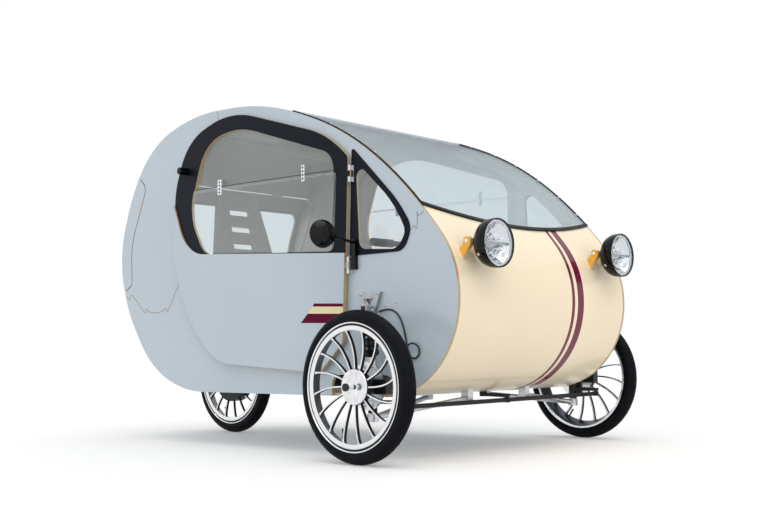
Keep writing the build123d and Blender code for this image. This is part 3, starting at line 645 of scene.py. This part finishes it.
def sheet_ring(low, high, steps, over, under):
    """Ring of a sheet from one length to another, between two lifts."""
    lengths = spread(low, high, steps)
    return [(t, over) for t in lengths] + [(t, under) for t in lengths[::-1]]


def windscreen():
    screen = lay(SCREEN_ACROSS, lambda y: sheet_ring(foot_length(y), NOSE.at[-1], 48, SCREEN_T, BED))
    screen.piece("clear_windscreen", "screen", slot="clear_sheet", crease=30, node="windscreen")
    trim = lay(SCREEN_ACROSS, lambda y: [(foot_length(y) + ahead, lift) for ahead, lift in TRIM_SECTION])
    trim.piece("screen_rubber", "trim", slot="black_rubber", crease=25, node="windscreen_trim")


def nose_sheet():
    """The nose sheet as packed, less what the curved windscreen leaves free."""
    radius = SAG_R - NOSE_LAP
    round_knife = Shape().lathe(
        [(NEAR_AXIS, GLASS_ABOVE), (radius, GLASS_ABOVE), (radius, KNIFE_TOP), (NEAR_AXIS, KNIFE_TOP)],
        KNIFE_TURNS, Matrix.Translation((SAG_X, 0, 0)),
    )
    knife = linked("nose_knife", round_knife.mesh("nose_knife"))
    sheet = linked("nose_source", frame["nodes"]["front_shell"].data.copy())
    cut = sheet.modifiers.new("cut", "BOOLEAN")
    cut.operation = "DIFFERENCE"
    cut.solver = "EXACT"
    cut.object = knife
    shown = sheet.evaluated_get(bpy.context.evaluated_depsgraph_get())
    result = bpy.data.meshes.new_from_object(shown)
    left_over = Shape().add([v.co for v in result.vertices], [p.vertices for p in result.polygons])
    bpy.data.objects.remove(sheet)
    bpy.data.objects.remove(knife)
    left_over.piece("nose_sheet", "cream_sheet", slot="cream_paint", crease=30, node="front_shell")


def nose_stripes():
    """Two stripes on the vehicle's left, from the floor to the rubber."""
    stripes = Shape()
    for span in NOSE_STRIPES:
        stripe = lay(spread(*span, 4), lambda y: sheet_ring(
            STRIPE_FOOT, foot_length(y) - TRIM_W + STRIPE_UNDER, 110, FILM_OVER, FILM_UNDER))
        stripes.add(stripe.verts, stripe.faces)
    stripes.piece("nose_stripes", "nose_stripe", crease=30)


windscreen()
nose_sheet()
nose_stripes()

# ---- door stripes
STRIPES = [  # look, corners (x, z) on the door's outer face
    ("burgundy", [(0.486, 0.539), (0.486, 0.528), (0.329, 0.534), (0.334, 0.545)]),
    ("stripe_cream", [(0.486, 0.528), (0.485, 0.503), (0.301, 0.509), (0.329, 0.534)]),
    ("burgundy", [(0.485, 0.503), (0.484, 0.47), (0.263, 0.476), (0.301, 0.509)]),
]
STRIPE_T = 0.0004
SIDES = (("right", -1), ("left", 1))
for side, sign in SIDES:
    for k, (look, corners) in enumerate(STRIPES):
        stripe = Shape().sheet(corners, sign * DOOR_OUT, sign * (DOOR_OUT + STRIPE_T))
        stripe.piece(f"door_stripe_{side}_{k}", look, f"door_{side}", crease=20)


# ---- seams, screws and plates of the body
def on_both(shape, name, look, slot=None, crease=30):
    """A form made on the right, with its mirror image on the left."""
    left = shape.mirrored()
    shape.add(left.verts, left.faces)
    shape.piece(name, look, slot=slot, crease=crease)


SEAMS = [  # at the rear, on top, and under the windscreen's foot
    [(-0.923, 0.623), (-0.899, 0.611), (-0.883, 0.63), (-0.781, 0.547), (-0.773, 0.564), (-0.735, 0.547),
     (-0.667, 0.547), (-0.623, 0.561), (-0.608, 0.55), (-0.536, 0.653), (-0.515, 0.643)],
    [(-0.269, 1.356), (-0.262, 1.34), (-0.264, 1.33), (-0.256, 1.318)],
    [(0.855, 0.833), (0.828, 0.821), (0.824, 0.835), (0.823, 0.779), (0.809, 0.789), (0.791, 0.772)],
]
SEAM_W = 0.0022
SEAM_RISE = 0.0004
seams = Shape()
for line in SEAMS:
    seams.ribbon(smooth_line(line, 3), SEAM_W, -PANEL_OUT - SEAM_RISE, -PANEL_OUT + SEAM_RISE)
on_both(seams, "panel_seams", "seam")

PANEL_SCREW = (0.0042, 0.0022, 0.4, 12)  # radius, height, share of the recess, corners
TOWER_BOLT = (0.0058, 0.004, 0.4, 12)
CLIP_SCREW = (0.004, 0.002, 0.4, 10)
ROOF_SCREW = (0.0052, 0.0026, 0.4, 10)
SCREEN_SCREWS = [0.15, 0.262, 0.388, 0.5, 0.611, 0.712, 0.795]
SCREEN_SCREW_INSET = 0.01
PANEL_SCREWS = [(0.674, 0.525), (0.724, 0.535), (0.214, 0.287), (0.236, 0.237)]
TOWER_BOLTS = [(0.564, 0.567), (0.65, 0.567), (0.592, 0.51), (0.622, 0.51)]
TOWER_OUT = PANEL_OUT + 0.0146  # outer face of the plate on a shock tower, and its back
TOWER_BACK = PANEL_OUT + 0.0122
screws = Shape()
for x in SCREEN_SCREWS:
    length = NOSE.length_at(x)
    at = NOSE.place(length, SCREEN_T)
    out = NOSE.place(length, SCREEN_T + 0.1) - at
    screws.head((at.x, -SCREEN_HALF + SCREEN_SCREW_INSET, at.y), (out.x, 0, out.y), *PANEL_SCREW)
for places, out, form in ((PANEL_SCREWS, PANEL_OUT, PANEL_SCREW), (TOWER_BOLTS, TOWER_OUT, TOWER_BOLT)):
    for x, z in places:
        screws.head((x, -out, z), (0, -1, 0), *form)
on_both(screws, "body_screws", "steel", "zinc_steel")

GASKET_ACROSS = (-SCREEN_HALF - 0.0012, -SCREEN_HALF + 0.004)
gasket_ring = sheet_ring(foot_length(SCREEN_HALF), NOSE.at[-1], 60, SCREEN_T + FILM_OVER, 0.0)
gasket = lay(GASKET_ACROSS, lambda y: gasket_ring)
on_both(gasket, "screen_gaskets", "trim", "black_rubber")

TOWER = [(0.553, 0.573), (0.583, 0.5), (0.631, 0.5), (0.661, 0.573)]
TOWER_HOLE = [(0.58, 0.551), (0.592, 0.526), (0.622, 0.526), (0.634, 0.551)]
TOWER_CENTRE = Vector((0.607, 0.539))
TOWER_RAYS = 72
FIRST_RAY = 0.01


def ray_out(outline, angle):
    """Where a ray from the plate's centre leaves a convex outline of (x, z)."""
    ray = Vector((cos(angle), sin(angle)))
    reaches = []
    for a, b in zip(outline, outline[1:] + outline[:1]):
        edge = Vector(b) - Vector(a)
        if ray.cross(edge):
            reaches.append((Vector(a) - TOWER_CENTRE).cross(edge) / ray.cross(edge))
    return TOWER_CENTRE + min(reach for reach in reaches if reach > 0) * ray


columns = []
for angle in spread(FIRST_RAY, FIRST_RAY + 2 * pi, TOWER_RAYS):
    (xo, zo), (xi, zi) = ray_out(TOWER, angle), ray_out(TOWER_HOLE, angle)
    columns.append([(xi, -TOWER_OUT, zi), (xo, -TOWER_OUT, zo), (xo, -TOWER_BACK, zo), (xi, -TOWER_BACK, zi)])
on_both(Shape().sweep(columns), "tower_plates", "plate", "satin_alloy", crease=20)

# ---- doors' knobs, and the flaps' clips and edges
KNOB = (-0.445, 1.127)
KNOB_REACH = 0.035
KNOB_ABOVE = 0.002  # the knob's corners rise this far over the door's skin
CAP_OVER = 0.0006  # the cap is this much larger in radius than the node's knob
CLIPS = [(-0.237, -0.214, 1.004, 1.066), (0.268, 0.284, 1.000, 1.062)]  # x, x, z, z
CLIP_HOLES = (0.01, 0.024)  # from either end of a clip
CLIP_T = 0.0022
EDGE_FILM = (0.0001, 0.0009)  # off the flap's face
EDGE_W = (0.0022, 0.0018)  # at the foot, at the front
FLAP_FOOT = [(-0.388, 1.042), (0.44, 1.021)]
FLAP_FRONT = [(0.44, 1.021), (0.453, 1.01), (0.433, 0.841), (0.432, 0.733)]


def on_flap(sign, low, high):
    """The two distances off a flap's outer face as y, in rising order."""
    return sorted((sign * (FLAP_OUT + low), sign * (FLAP_OUT + high)))


def door_details(side, sign):
    body = "door_" + side
    raised = [v for v in corners_of("door_frame_" + side) if abs(v.y) > DOOR_OUT + KNOB_ABOVE]
    xs, ys, zs = zip(*[v for v in raised if hypot(v.x - KNOB[0], v.z - KNOB[1]) < KNOB_REACH])
    centre = ((max(xs) + min(xs)) / 2, sign * FRAME_OUT, (max(zs) + min(zs)) / 2)
    r = (max(xs) - min(xs)) / 2 + CAP_OVER
    top = max(abs(y) for y in ys) - FRAME_OUT
    section = [(r, 0.0), (r, top * 0.8)]
    section += [(r * 0.92, top + 0.0004), (r * 0.6, top + 0.0012), (NEAR_AXIS, top + 0.0014)]
    cap = Shape().lathe(section, 36, turned(centre, (0, sign, 0)))
    cap.piece("door_knob_" + side, "black_paint", body, "black_plastic")
    clips, screws, edge = Shape(), Shape(), Shape()
    for x0, x1, z0, z1 in CLIPS:
        clips.block(x0, x1, z0, z1, *on_flap(sign, 0.0002, CLIP_T))
        for z in [z0 + hole for hole in CLIP_HOLES] + [z1 - hole for hole in CLIP_HOLES]:
            screws.head(((x0 + x1) / 2, sign * (FLAP_OUT + CLIP_T), z), (0, sign, 0), *CLIP_SCREW)
    film = on_flap(sign, *EDGE_FILM)
    edge.ribbon(FLAP_FOOT, EDGE_W[0], *film)
    edge.ribbon(smooth_line(FLAP_FRONT, 4), EDGE_W[1], *film)
    clips.piece("pane_clips_" + side, "white", body)
    screws.piece("pane_screws_" + side, "black_satin", body, "black_metal")
    edge.piece("pane_edge_" + side, "black_satin", body, "black_plastic")


for side, sign in SIDES:
    door_details(side, sign)

# ---- screws under the roof, beside two ribs
ROOF_SCREW_ROWS = (-0.235, 0.09)
ROOF_SCREW_PITCH = 0.062
RIB_NEAR = 0.08  # a row's rib lies within this of it
ROOF_SCREW_DROP = 0.0035
roof_screws = Shape()
for x in ROOF_SCREW_ROWS:
    top = max(v.z for v in corners_of("roof_ribs") if abs(v.x - x) < RIB_NEAR)
    for k in range(-7, 8):
        roof_screws.head((x, ROOF_SCREW_PITCH * k, top - ROOF_SCREW_DROP), (0, 0, -1), *ROOF_SCREW)
roof_screws.piece("roof_screws", "chrome", slot="zinc_steel")

# ---- brake hoses
HOSE_R = 0.003
HOSE_GAP = 0.0005
HOSE_ROUTE = [  # x, height, and how far it lifts off the panel for the crossing of its loop
    (0.645, 0.505, 0), (0.668, 0.511, 0), (0.693, 0.512, 0), (0.717, 0.505, 0), (0.737, 0.489, 0),
    (0.751, 0.466, 0), (0.76, 0.44, 0), (0.767, 0.414, 0), (0.771, 0.39, 0), (0.776, 0.367, 0),
    (0.785, 0.35, 0), (0.803, 0.342, 0), (0.822, 0.35, 0.001), (0.831, 0.369, 0.002),
    (0.824, 0.388, 0.004), (0.804, 0.397, 0.007), (0.785, 0.39, 0.0085), (0.775, 0.372, 0.0085),
    (0.776, 0.352, 0.007), (0.786, 0.332, 0.004),
]


def brake_hose(side, sign):
    """Hose from the shock tower down the panel, with one loop before its grommet."""
    curve = bpy.data.curves.new("brake_hose_" + side, "CURVE")
    curve.dimensions = "3D"
    curve.bevel_depth = HOSE_R
    curve.bevel_resolution = 4
    curve.resolution_u = 8
    line = curve.splines.new("NURBS")
    line.points.add(len(HOSE_ROUTE) - 1)
    route = [(x, sign * (PANEL_OUT + HOSE_R + HOSE_GAP + lift), z) for x, z, lift in HOSE_ROUTE]
    for point, place in zip(line.points, route):
        point.co = (*place, 1)
    line.order_u = 3
    line.use_endpoint_u = True
    curve.materials.append(MATERIALS["rubber"])
    obj = linked("brake_hose_" + side, curve)
    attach(obj, "body")
    if side == "right":
        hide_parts("brake_hoses")


for side, sign in SIDES:
    brake_hose(side, sign)
GROMMET = [(NEAR_AXIS, 0), (0.0072, 0), (0.0072, 0.005), (0.006, 0.0085), (0.0035, 0.009), (NEAR_AXIS, 0.009)]
grommets = Shape().lathe(GROMMET, 28, turned((HOSE_ROUTE[-1][0], -PANEL_OUT, HOSE_ROUTE[-1][1]), (0, -1, 0)))
on_both(grommets, "hose_grommets", "rubber", "black_rubber")

# ---- seat cushions
CUSHION_STEPS = 28
BOXY = 7  # the higher this power, the squarer a cushion
QUILT = 0.07  # share of the thickness that its soft grooves take
QUILT_WAVES = 2.5


def corner_groups(node):
    """Corners of (x, z) of each solid in a node, gathered over the faces that share them."""
    places = corners_of(node)
    groups = []
    for face in frame["nodes"][node].data.polygons:
        points = [places[i] for i in face.vertices]
        corners = {(round(p.x, 4), round(p.z, 4)) for p in points}
        joined = [g for g in groups if g & corners]
        groups = [g for g in groups if not g & corners] + [corners.union(*joined)]
    return groups


def cushion(corners, half):
    """Padded form between four corners of (x, z), as wide as half to either side."""
    cx, cz = (sum(values) / len(corners) for values in zip(*corners))
    quad = [Vector(p) for p in sorted(corners, key=lambda p: atan2(p[1] - cz, p[0] - cx))]
    if (quad[1] - quad[0]).length < (quad[2] - quad[1]).length:
        quad = quad[1:] + quad[:1]
    count = CUSHION_STEPS + 1
    shape = Shape()
    for axis in range(3):
        for sign in (-1, 1):
            verts = []
            for k in range(count * count):
                cube = [0.0, 0.0, 0.0]
                cube[axis] = sign
                cube[(axis + 1) % 3] = 2 * (k // count) / CUSHION_STEPS - 1
                cube[(axis + 2) % 3] = 2 * (k % count) / CUSHION_STEPS - 1
                size = sum(abs(c) ** BOXY for c in cube) ** (1 / BOXY)
                u, v, w = (c / size for c in cube)
                thick = 1 - QUILT * max(0.0, cos(u * QUILT_WAVES * pi)) * (1 - u * u)
                low = quad[0].lerp(quad[1], (u + 1) / 2)
                high = quad[3].lerp(quad[2], (u + 1) / 2)
                p = low.lerp(high, (v * thick + 1) / 2)
                verts.append((p.x, half * w, p.y))
            faces = grid_faces(count, count, flip=True)
            shape.add(verts, faces if sign > 0 else [f[::-1] for f in faces])
    return shape.merged()


def cushions():
    """Padded forms in place of the two plain cushion solids."""
    half = max(v.y for v in corners_of("seat_cushions"))
    by_height = sorted(corner_groups("seat_cushions"), key=lambda group: max(z for x, z in group))
    for corners, name, node in zip(by_height, ("seat_cushion", "back_cushion"), ("seat_cushions", None)):
        obj = cushion(corners, half).piece(name, "fabric", slot="seat_fabric", crease=60, node=node)


cushions()

# ---- tyres
WHEELS = (  # end, body, outward side along Y
    ("front_right", "front_wheel_right", -1),
    ("front_left", "front_wheel_left", 1),
    ("rear", "rear_wheel", -1),
)
TYRE_TURNS = 288
TYRE_PITCH = 48  # slanting grooves round the tyre
SECTION_END = radians(140)  # half angle of the rubber on the round section
SECTION_STEPS = 56
CENTRE_GROOVE = (radians(7), radians(11))
TREAD = (radians(17), radians(62))
GROOVE_DEPTH = 0.0013
GROOVE_SLANT = 1.6
GROOVE_SHARE = 0.26


def tread_depth(turn, t):
    """Depth of the grooves at a turn of the wheel and an angle t on the section."""
    side = abs(t)
    if CENTRE_GROOVE[0] < side < CENTRE_GROOVE[1]:
        return GROOVE_DEPTH
    if TREAD[0] < side < TREAD[1]:
        phase = (turn / (2 * pi) * TYRE_PITCH + GROOVE_SLANT * t) % 1.0
        return GROOVE_DEPTH if phase < GROOVE_SHARE else 0.0
    return 0.0


def tyre(end, body):
    centre = middle("tyre_" + end)
    crown = TYRE_W / 2
    verts = []
    for turn in around(TYRE_TURNS):
        for t in spread(-SECTION_END, SECTION_END, SECTION_STEPS):
            depth = tread_depth(turn, t)
            r = WHEEL_R - crown + (crown - depth) * cos(t)
            verts.append(centre + Vector((r * cos(turn), (crown - depth) * sin(t), r * sin(turn))))
    shape = Shape().add(verts, grid_faces(TYRE_TURNS, SECTION_STEPS + 1, True, True))
    shape.piece("treaded_tyre_" + end, "tyre", body, "tyre_rubber", crease=50, node="tyre_" + end)


for end, body, outward in WHEELS:
    tyre(end, body)

# ---- wheels
RIM_SECTION = [  # radius, and distance outwards from the wheel's middle plane
    (RIM_IN, 0.02), (RIM_IN + 0.003, 0.0247), (RIM_R + 0.007, 0.025), (RIM_R + 0.007, 0.0235),
    (RIM_R, 0.02), (RIM_R, -0.02), (RIM_R + 0.007, -0.0235), (RIM_R + 0.007, -0.025),
    (RIM_R, -0.0247), (RIM_R - 0.004, -0.02), (RIM_IN + 0.009, 0.004), (RIM_IN + 0.003, 0.012),
]
HUB_SECTION = [
    (0.0078, 0.016), (0.056, 0.016), (0.0582, 0.0152), (0.0598, 0.013), (0.0598, -0.008),
    (0.028, -0.009), (0.028, -0.0478), (0.056, -0.0478), (0.08, -0.048), (0.08, -0.0505),
    (0.0078, -0.0505),
]
LIP_SECTIONS = [
    [(0.2132, 0.0245), (0.213, 0.0272), (0.2112, 0.0277), (0.2092, 0.027), (0.208, 0.0251)],
    [(0.2022, 0.0251), (0.2014, 0.0272), (0.2, 0.0277), (0.188, 0.0262), (0.1862, 0.0246)],
]
# black ring in the groove between the rim's two lips: painted shade, not a dark part
SHADED_GROOVE_SECTION = [(0.2082, 0.024), (0.2082, 0.0253), (0.202, 0.0253), (0.202, 0.024)]
RIM_TURNS = 160
HUB_TURNS = 96
MOTOR_EDGE = 0.1095  # the rear wheel's spokes start on the hub motor
SPOKES = 16
SPOKE_STEPS = 26
SPOKE_ROOT = 0.056
SPOKE_TIP = RIM_IN + 0.0035
SPOKE_SWEEP = radians(9)
SPOKE_W = 0.005
SPOKE_T = 0.0125
SPOKE_FOOT_OUT = 0.0105  # outer face of a spoke at the hub, from the middle plane
SPOKE_LEAN = 0.0125  # and how much further out it lies at the rim
FLARE_FROM = 0.86  # from this share of its length a spoke widens
FLARE_W = 0.006
STEM_ANGLE = radians(248)
STEM_ROOT = 0.184
STEM_R = 0.0036
STEM_LINE = [(0.0, 0.0), (0.012, 0.0), (0.02, 0.004), (0.034, 0.012)]  # inwards, outwards along Y


def spoke_ring(r):
    """Corners of a spoke's section at a radius: angle, distance from the middle plane."""
    share = (r - SPOKE_ROOT) / (SPOKE_TIP - SPOKE_ROOT)
    angle = SPOKE_SWEEP * (0.88 * share ** 2 + 0.12 * share)
    out = SPOKE_FOOT_OUT + SPOKE_LEAN * share ** 2.4
    flare = max(0.0, (share - FLARE_FROM) / (1 - FLARE_FROM)) ** 2
    half = (SPOKE_W + FLARE_W * flare) / 2 / r
    back = out - SPOKE_T
    return [(angle - half, out), (angle + half, out), (angle + half, back), (angle - half, back)]


def cast(end, body, outward):
    """Cast wheel in the place of its node, with spokes that lean out to the rim's face."""
    centre = middle("tyre_" + end)
    place = turned(centre, (0, outward, 0))
    shape = Shape().lathe(RIM_SECTION, RIM_TURNS, place, closed=True)
    start = MOTOR_EDGE
    if end != "rear":
        start = SPOKE_ROOT
        shape.lathe(HUB_SECTION, HUB_TURNS, place, closed=True)
    for turn in around(SPOKES):
        shape.sweep([
            [centre + Vector((-outward * r * cos(turn + a), outward * out, r * sin(turn + a)))
             for a, out in spoke_ring(r)]
            for r in spread(start, SPOKE_TIP, SPOKE_STEPS)
        ])
    shape.piece("cast_wheel_" + end, "wheel", body, "cast_alloy", crease=30, node="wheel_" + end)


def wheel_details(end, body, outward):
    """Bright rings on the rim's outer face, a black ring between them as painted shade in the groove, and the
    valve stem.
    """
    centre = middle("tyre_" + end)
    place = turned(centre, (0, outward, 0))
    lips = Shape()
    for section in LIP_SECTIONS:
        lips.lathe(section, RIM_TURNS, place)
    lips.piece("rim_lip_" + end, "chrome", body, "satin_alloy")
    # the ring in the groove is black as painted shade
    shaded_groove = Shape().lathe(SHADED_GROOVE_SECTION, RIM_TURNS, place)
    shaded_groove.piece("rim_groove_painted_shade_" + end, "black_satin", body, "black_metal")
    spoke = Vector((cos(STEM_ANGLE), 0, sin(STEM_ANGLE)))
    root = centre + STEM_ROOT * spoke
    line = [root - inwards * spoke + Vector((0, outward * out, 0)) for inwards, out in STEM_LINE]
    Shape().tube(line, STEM_R, 10).piece("valve_stem_" + end, "rubber", body)


for make in (cast, wheel_details):
    for wheel in WHEELS:
        make(*wheel)

# ---- headlights
LAMP_LOW, LAMP_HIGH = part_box("headlight_housings")
LAMP_Z = (LAMP_LOW.z + LAMP_HIGH.z) / 2
LAMP_Y = LAMP_HIGH.y - (LAMP_HIGH.z - LAMP_LOW.z) / 2
LAMP_FRONT = 1.071  # the photograph shows the bowls further out and larger than the node
LAMP_R = 0.0822
LAMP_DEPTH = 0.076
LAMP_TURNS = 96
LENS_R = LAMP_R - 0.0052
LENS_DOME = 0.0036
LENS_T = 0.0025
LENS_RINGS = 12
MIRROR_R = LAMP_R - 0.0055
MIRROR_FRONT = -0.0075  # heights are counted from the lamp's front
MIRROR_DEPTH = 0.046
MIRROR_RINGS = 18
FACET = 0.0024
FACET_TURNS, FACET_RINGS = 6, 4
DOTS = 54
DOT_R = MIRROR_R - 0.004
DOT_HEIGHT = -0.0066
BOWL_SECTION = [  # radius, height
    (NEAR_AXIS, -LAMP_DEPTH), (0.018, 0.0004 - LAMP_DEPTH), (0.034, 0.0026 - LAMP_DEPTH), (0.048, -0.0682),
    (0.06, -0.0618), (0.068, -0.055), (0.0745, -0.0465), (0.0785, -0.038), (0.081, -0.029),
    (0.0815, -0.0215), (0.0805, -0.0205), (0.0805, -0.0188), (LAMP_R, -0.0178), (LAMP_R, -0.0036),
    (LAMP_R - 0.0007, -0.001), (LAMP_R - 0.0022, 0.0002), (LAMP_R - 0.004, -0.0004),
    (LAMP_R - 0.0049, -0.0022), (LENS_R, -0.012),
]
DOT_RING = [(MIRROR_R - 0.0075, -0.0095), (MIRROR_R - 0.007, -0.007), (MIRROR_R - 0.001, -0.006)]
DOT_SECTION = [(0.0021, -0.001), (0.0019, 0.001), (NEAR_AXIS, 0.0016)]
BULB_SECTION = [(0.012, -0.05), (0.012, -0.032), (0.01, -0.024), (0.0055, -0.019), (NEAR_AXIS, -0.018)]
BAR_HALF = 0.07  # the bar across a lamp: half its length and height, its back and its front
BAR_RISE = 0.0042
BAR_BACK, BAR_FRONT = LAMP_FRONT - 0.022, LAMP_FRONT - 0.015
RIM_SCREW = (0.0052, 0.0028, 0.3)
RIM_SCREW_X = LAMP_FRONT - 0.034
RIM_SCREW_R = 0.08
BOLT = (0.9868, 0.7265)  # x, z of the bolt that carries a lamp
BOLT_HEAD = (0.0068, 0.004, 0.45)
BOSS_SECTION = [(NEAR_AXIS, -0.0005), (0.0125, -0.0005), (0.0135, 0.002), (0.0135, 0.008), (0.012, 0.01),
                (0.012, 0.052), (NEAR_AXIS, 0.052)]
CHEEK_OUT = LAMP_Y + 0.071
CHEEK_IN = CHEEK_OUT - 0.018
CHEEK = [  # x, z
    (0.979, 0.7385), (0.985, 0.7415), (0.993, 0.7415), (1.0005, 0.738), (1.005, 0.7315), (1.0055, 0.72),
    (1.002, 0.711), (0.992, 0.6985), (0.983, 0.685), (0.977, 0.672), (0.9735, 0.663), (0.92, 0.663),
    (0.92, 0.708), (0.947, 0.703), (0.955, 0.703), (0.964, 0.7095), (0.9725, 0.716), (0.9755, 0.724),
]


def lamp_pair(shape, name, look, slot=None, crease=28, node=None):
    """A form made for the right lamp, with its copy at the left one."""
    shape.add([v + Vector((0, 2 * LAMP_Y, 0)) for v in shape.verts], shape.faces)
    shape.piece(name, look, slot=slot, crease=crease, node=node)


def reflector(place):
    """Hollow mirror with facets that stand out by turns."""
    verts = []
    for k, a in enumerate(around(LAMP_TURNS)):
        for i in range(MIRROR_RINGS + 1):
            share = i / MIRROR_RINGS
            r = MIRROR_R * i / MIRROR_RINGS + NEAR_AXIS
            raised = 3 < i < MIRROR_RINGS - 3 and (k // FACET_TURNS + i // FACET_RINGS) % 2
            height = MIRROR_FRONT - MIRROR_DEPTH * (1 - share ** 2) + (FACET if raised else 0.0)
            verts.append(place @ Vector((r * cos(a), r * sin(a), height)))
    return Shape().add(verts, grid_faces(LAMP_TURNS, MIRROR_RINGS + 1, True, flip=True))


def headlights():
    place = turned((LAMP_FRONT, -LAMP_Y, LAMP_Z), (1, 0, 0))
    dots = Shape().lathe(DOT_RING, LAMP_TURNS, place)
    for a in around(DOTS):
        dots.lathe(DOT_SECTION, 10, place @ Matrix.Translation((DOT_R * cos(a), DOT_R * sin(a), DOT_HEIGHT)))
    bar = Shape().block(BAR_BACK, BAR_FRONT, LAMP_Z - BAR_RISE, LAMP_Z + BAR_RISE,
                        -LAMP_Y - BAR_HALF, -LAMP_Y + BAR_HALF)
    screws = Shape()
    for turn in (radians(-150), radians(-30)):
        out = Vector((0, cos(turn), sin(turn)))
        at = Vector((RIM_SCREW_X, -LAMP_Y, LAMP_Z)) + RIM_SCREW_R * out
        screws.head(at, out + Vector((-0.1, 0, 0)), *RIM_SCREW)
    dome = [(LENS_R * t + NEAR_AXIS, LENS_DOME * (1 - t * t)) for t in spread(0.0, 1.0, LENS_RINGS)]
    lens = Shape().lathe(dome + [(r, height - LENS_T) for r, height in dome[::-1]], LAMP_TURNS, place)
    bowl = Shape().lathe(BOWL_SECTION, LAMP_TURNS, place)
    lamp_pair(bowl, "headlight_bowls", "black_paint", "black_metal", node="headlight_housings")
    lamp_pair(reflector(place), "headlight_reflectors", "chrome")
    lamp_pair(dots, "headlight_dots", "chrome")
    lamp_pair(Shape().lathe(BULB_SECTION, 24, place), "headlight_bulbs", "white")
    lamp_pair(bar, "headlight_bars", "plate")
    lamp_pair(screws, "headlight_screws", "steel", "zinc_steel")
    lamp_pair(lens, "headlight_glasses", "lens", "lamp_lens", crease=30, node="headlight_lenses")


def lamp_brackets():
    """Outer cheeks, and the bosses and bolts that carry the lamps on them."""
    cheek = Shape().sheet(CHEEK, -CHEEK_OUT, -CHEEK_IN)
    boss = Shape().lathe(BOSS_SECTION, 28, turned((BOLT[0], -CHEEK_IN, BOLT[1]), (0, 1, 0)))
    bolt = Shape().head((BOLT[0], -CHEEK_OUT, BOLT[1]), (0, -1, 0), *BOLT_HEAD)
    lamp_pair(cheek, "headlight_cheeks", "yellow", "yellow_plywood", crease=20)
    lamp_pair(boss, "headlight_bosses", "black_paint", "black_metal")
    lamp_pair(bolt, "bracket_bolts", "chrome", "zinc_steel")


headlights()
lamp_brackets()

# ---- floor, light and camera
WHITE = (1, 1, 1, 1)
FLOOR_HALF = 30.0
FLOOR_GLOW = 0.18  # seen by the camera and in reflections only
SKY_LIGHT = 0.74
SKY_SHOWN = 1.0


def studio():
    h = FLOOR_HALF
    floor = Shape().add([(-h, -h, 0), (h, -h, 0), (h, h, 0), (-h, h, 0)], [(0, 1, 2, 3)]).mesh("floor")
    linked("floor", floor)
    g = Material("floor_paint")
    g.set(Base_Color=(0.8, 0.8, 0.8, 1), Roughness=0.9, Specular_IOR_Level=0.0)
    dark = g.add("Emission", {"Strength": 0.0}).outputs[0]
    glow = g.add("Emission", {"Color": WHITE, "Strength": FLOOR_GLOW}).outputs[0]
    lit = g.blend(g.any_ray("Camera", "Glossy", "Transmission"), dark, glow)
    g.surface(g.add("AddShader", {0: g.shader.outputs[0], 1: lit}).outputs[0])
    floor.materials.append(g.material)


def world():
    sky = bpy.data.worlds.new("studio_world")
    scene.world = sky
    sky.use_nodes = True
    g = Graph(sky.node_tree)
    seen = g.any_ray("Camera", "Glossy", "Transmission")
    level = g.add("MapRange", {"Value": seen, "To Min": SKY_LIGHT, "To Max": SKY_SHOWN}).outputs[0]
    back = sky.node_tree.nodes["Background"]
    g.feed(back.inputs["Color"], WHITE)
    g.feed(back.inputs["Strength"], level)


def sun(name, direction, strength, angle):
    data = bpy.data.lights.new(name, "SUN")
    data.energy = strength
    data.angle = radians(angle)
    linked(name, data).matrix_world = turned((0, 0, 3), direction)


def camera():
    ahead = Vector((cos(PITCH) * cos(YAW), cos(PITCH) * sin(YAW), sin(PITCH)))
    flat_right = Vector((sin(YAW), -cos(YAW), 0))
    flat_up = flat_right.cross(ahead)
    right = cos(ROLL) * flat_right + sin(ROLL) * flat_up
    up = -sin(ROLL) * flat_right + cos(ROLL) * flat_up
    data = bpy.data.cameras.new("camera")
    data.sensor_width = SENSOR
    data.lens = FOCAL_PX / IMAGE_W * SENSOR
    scene.camera = linked("camera", data)
    rotation = Matrix((right, up, -ahead)).transposed().to_4x4()
    scene.camera.matrix_world = Matrix.Translation(CAMERA_AT) @ rotation


studio()
world()
sun("top_sun", (0.25, -0.1, 1.0), 0.95, 60)
sun("side_sun", (0.7, -0.9, 0.45), 0.36, 80)
camera()
scene.view_settings.view_transform = "Standard"
scene.cycles.transparent_max_bounces = 32
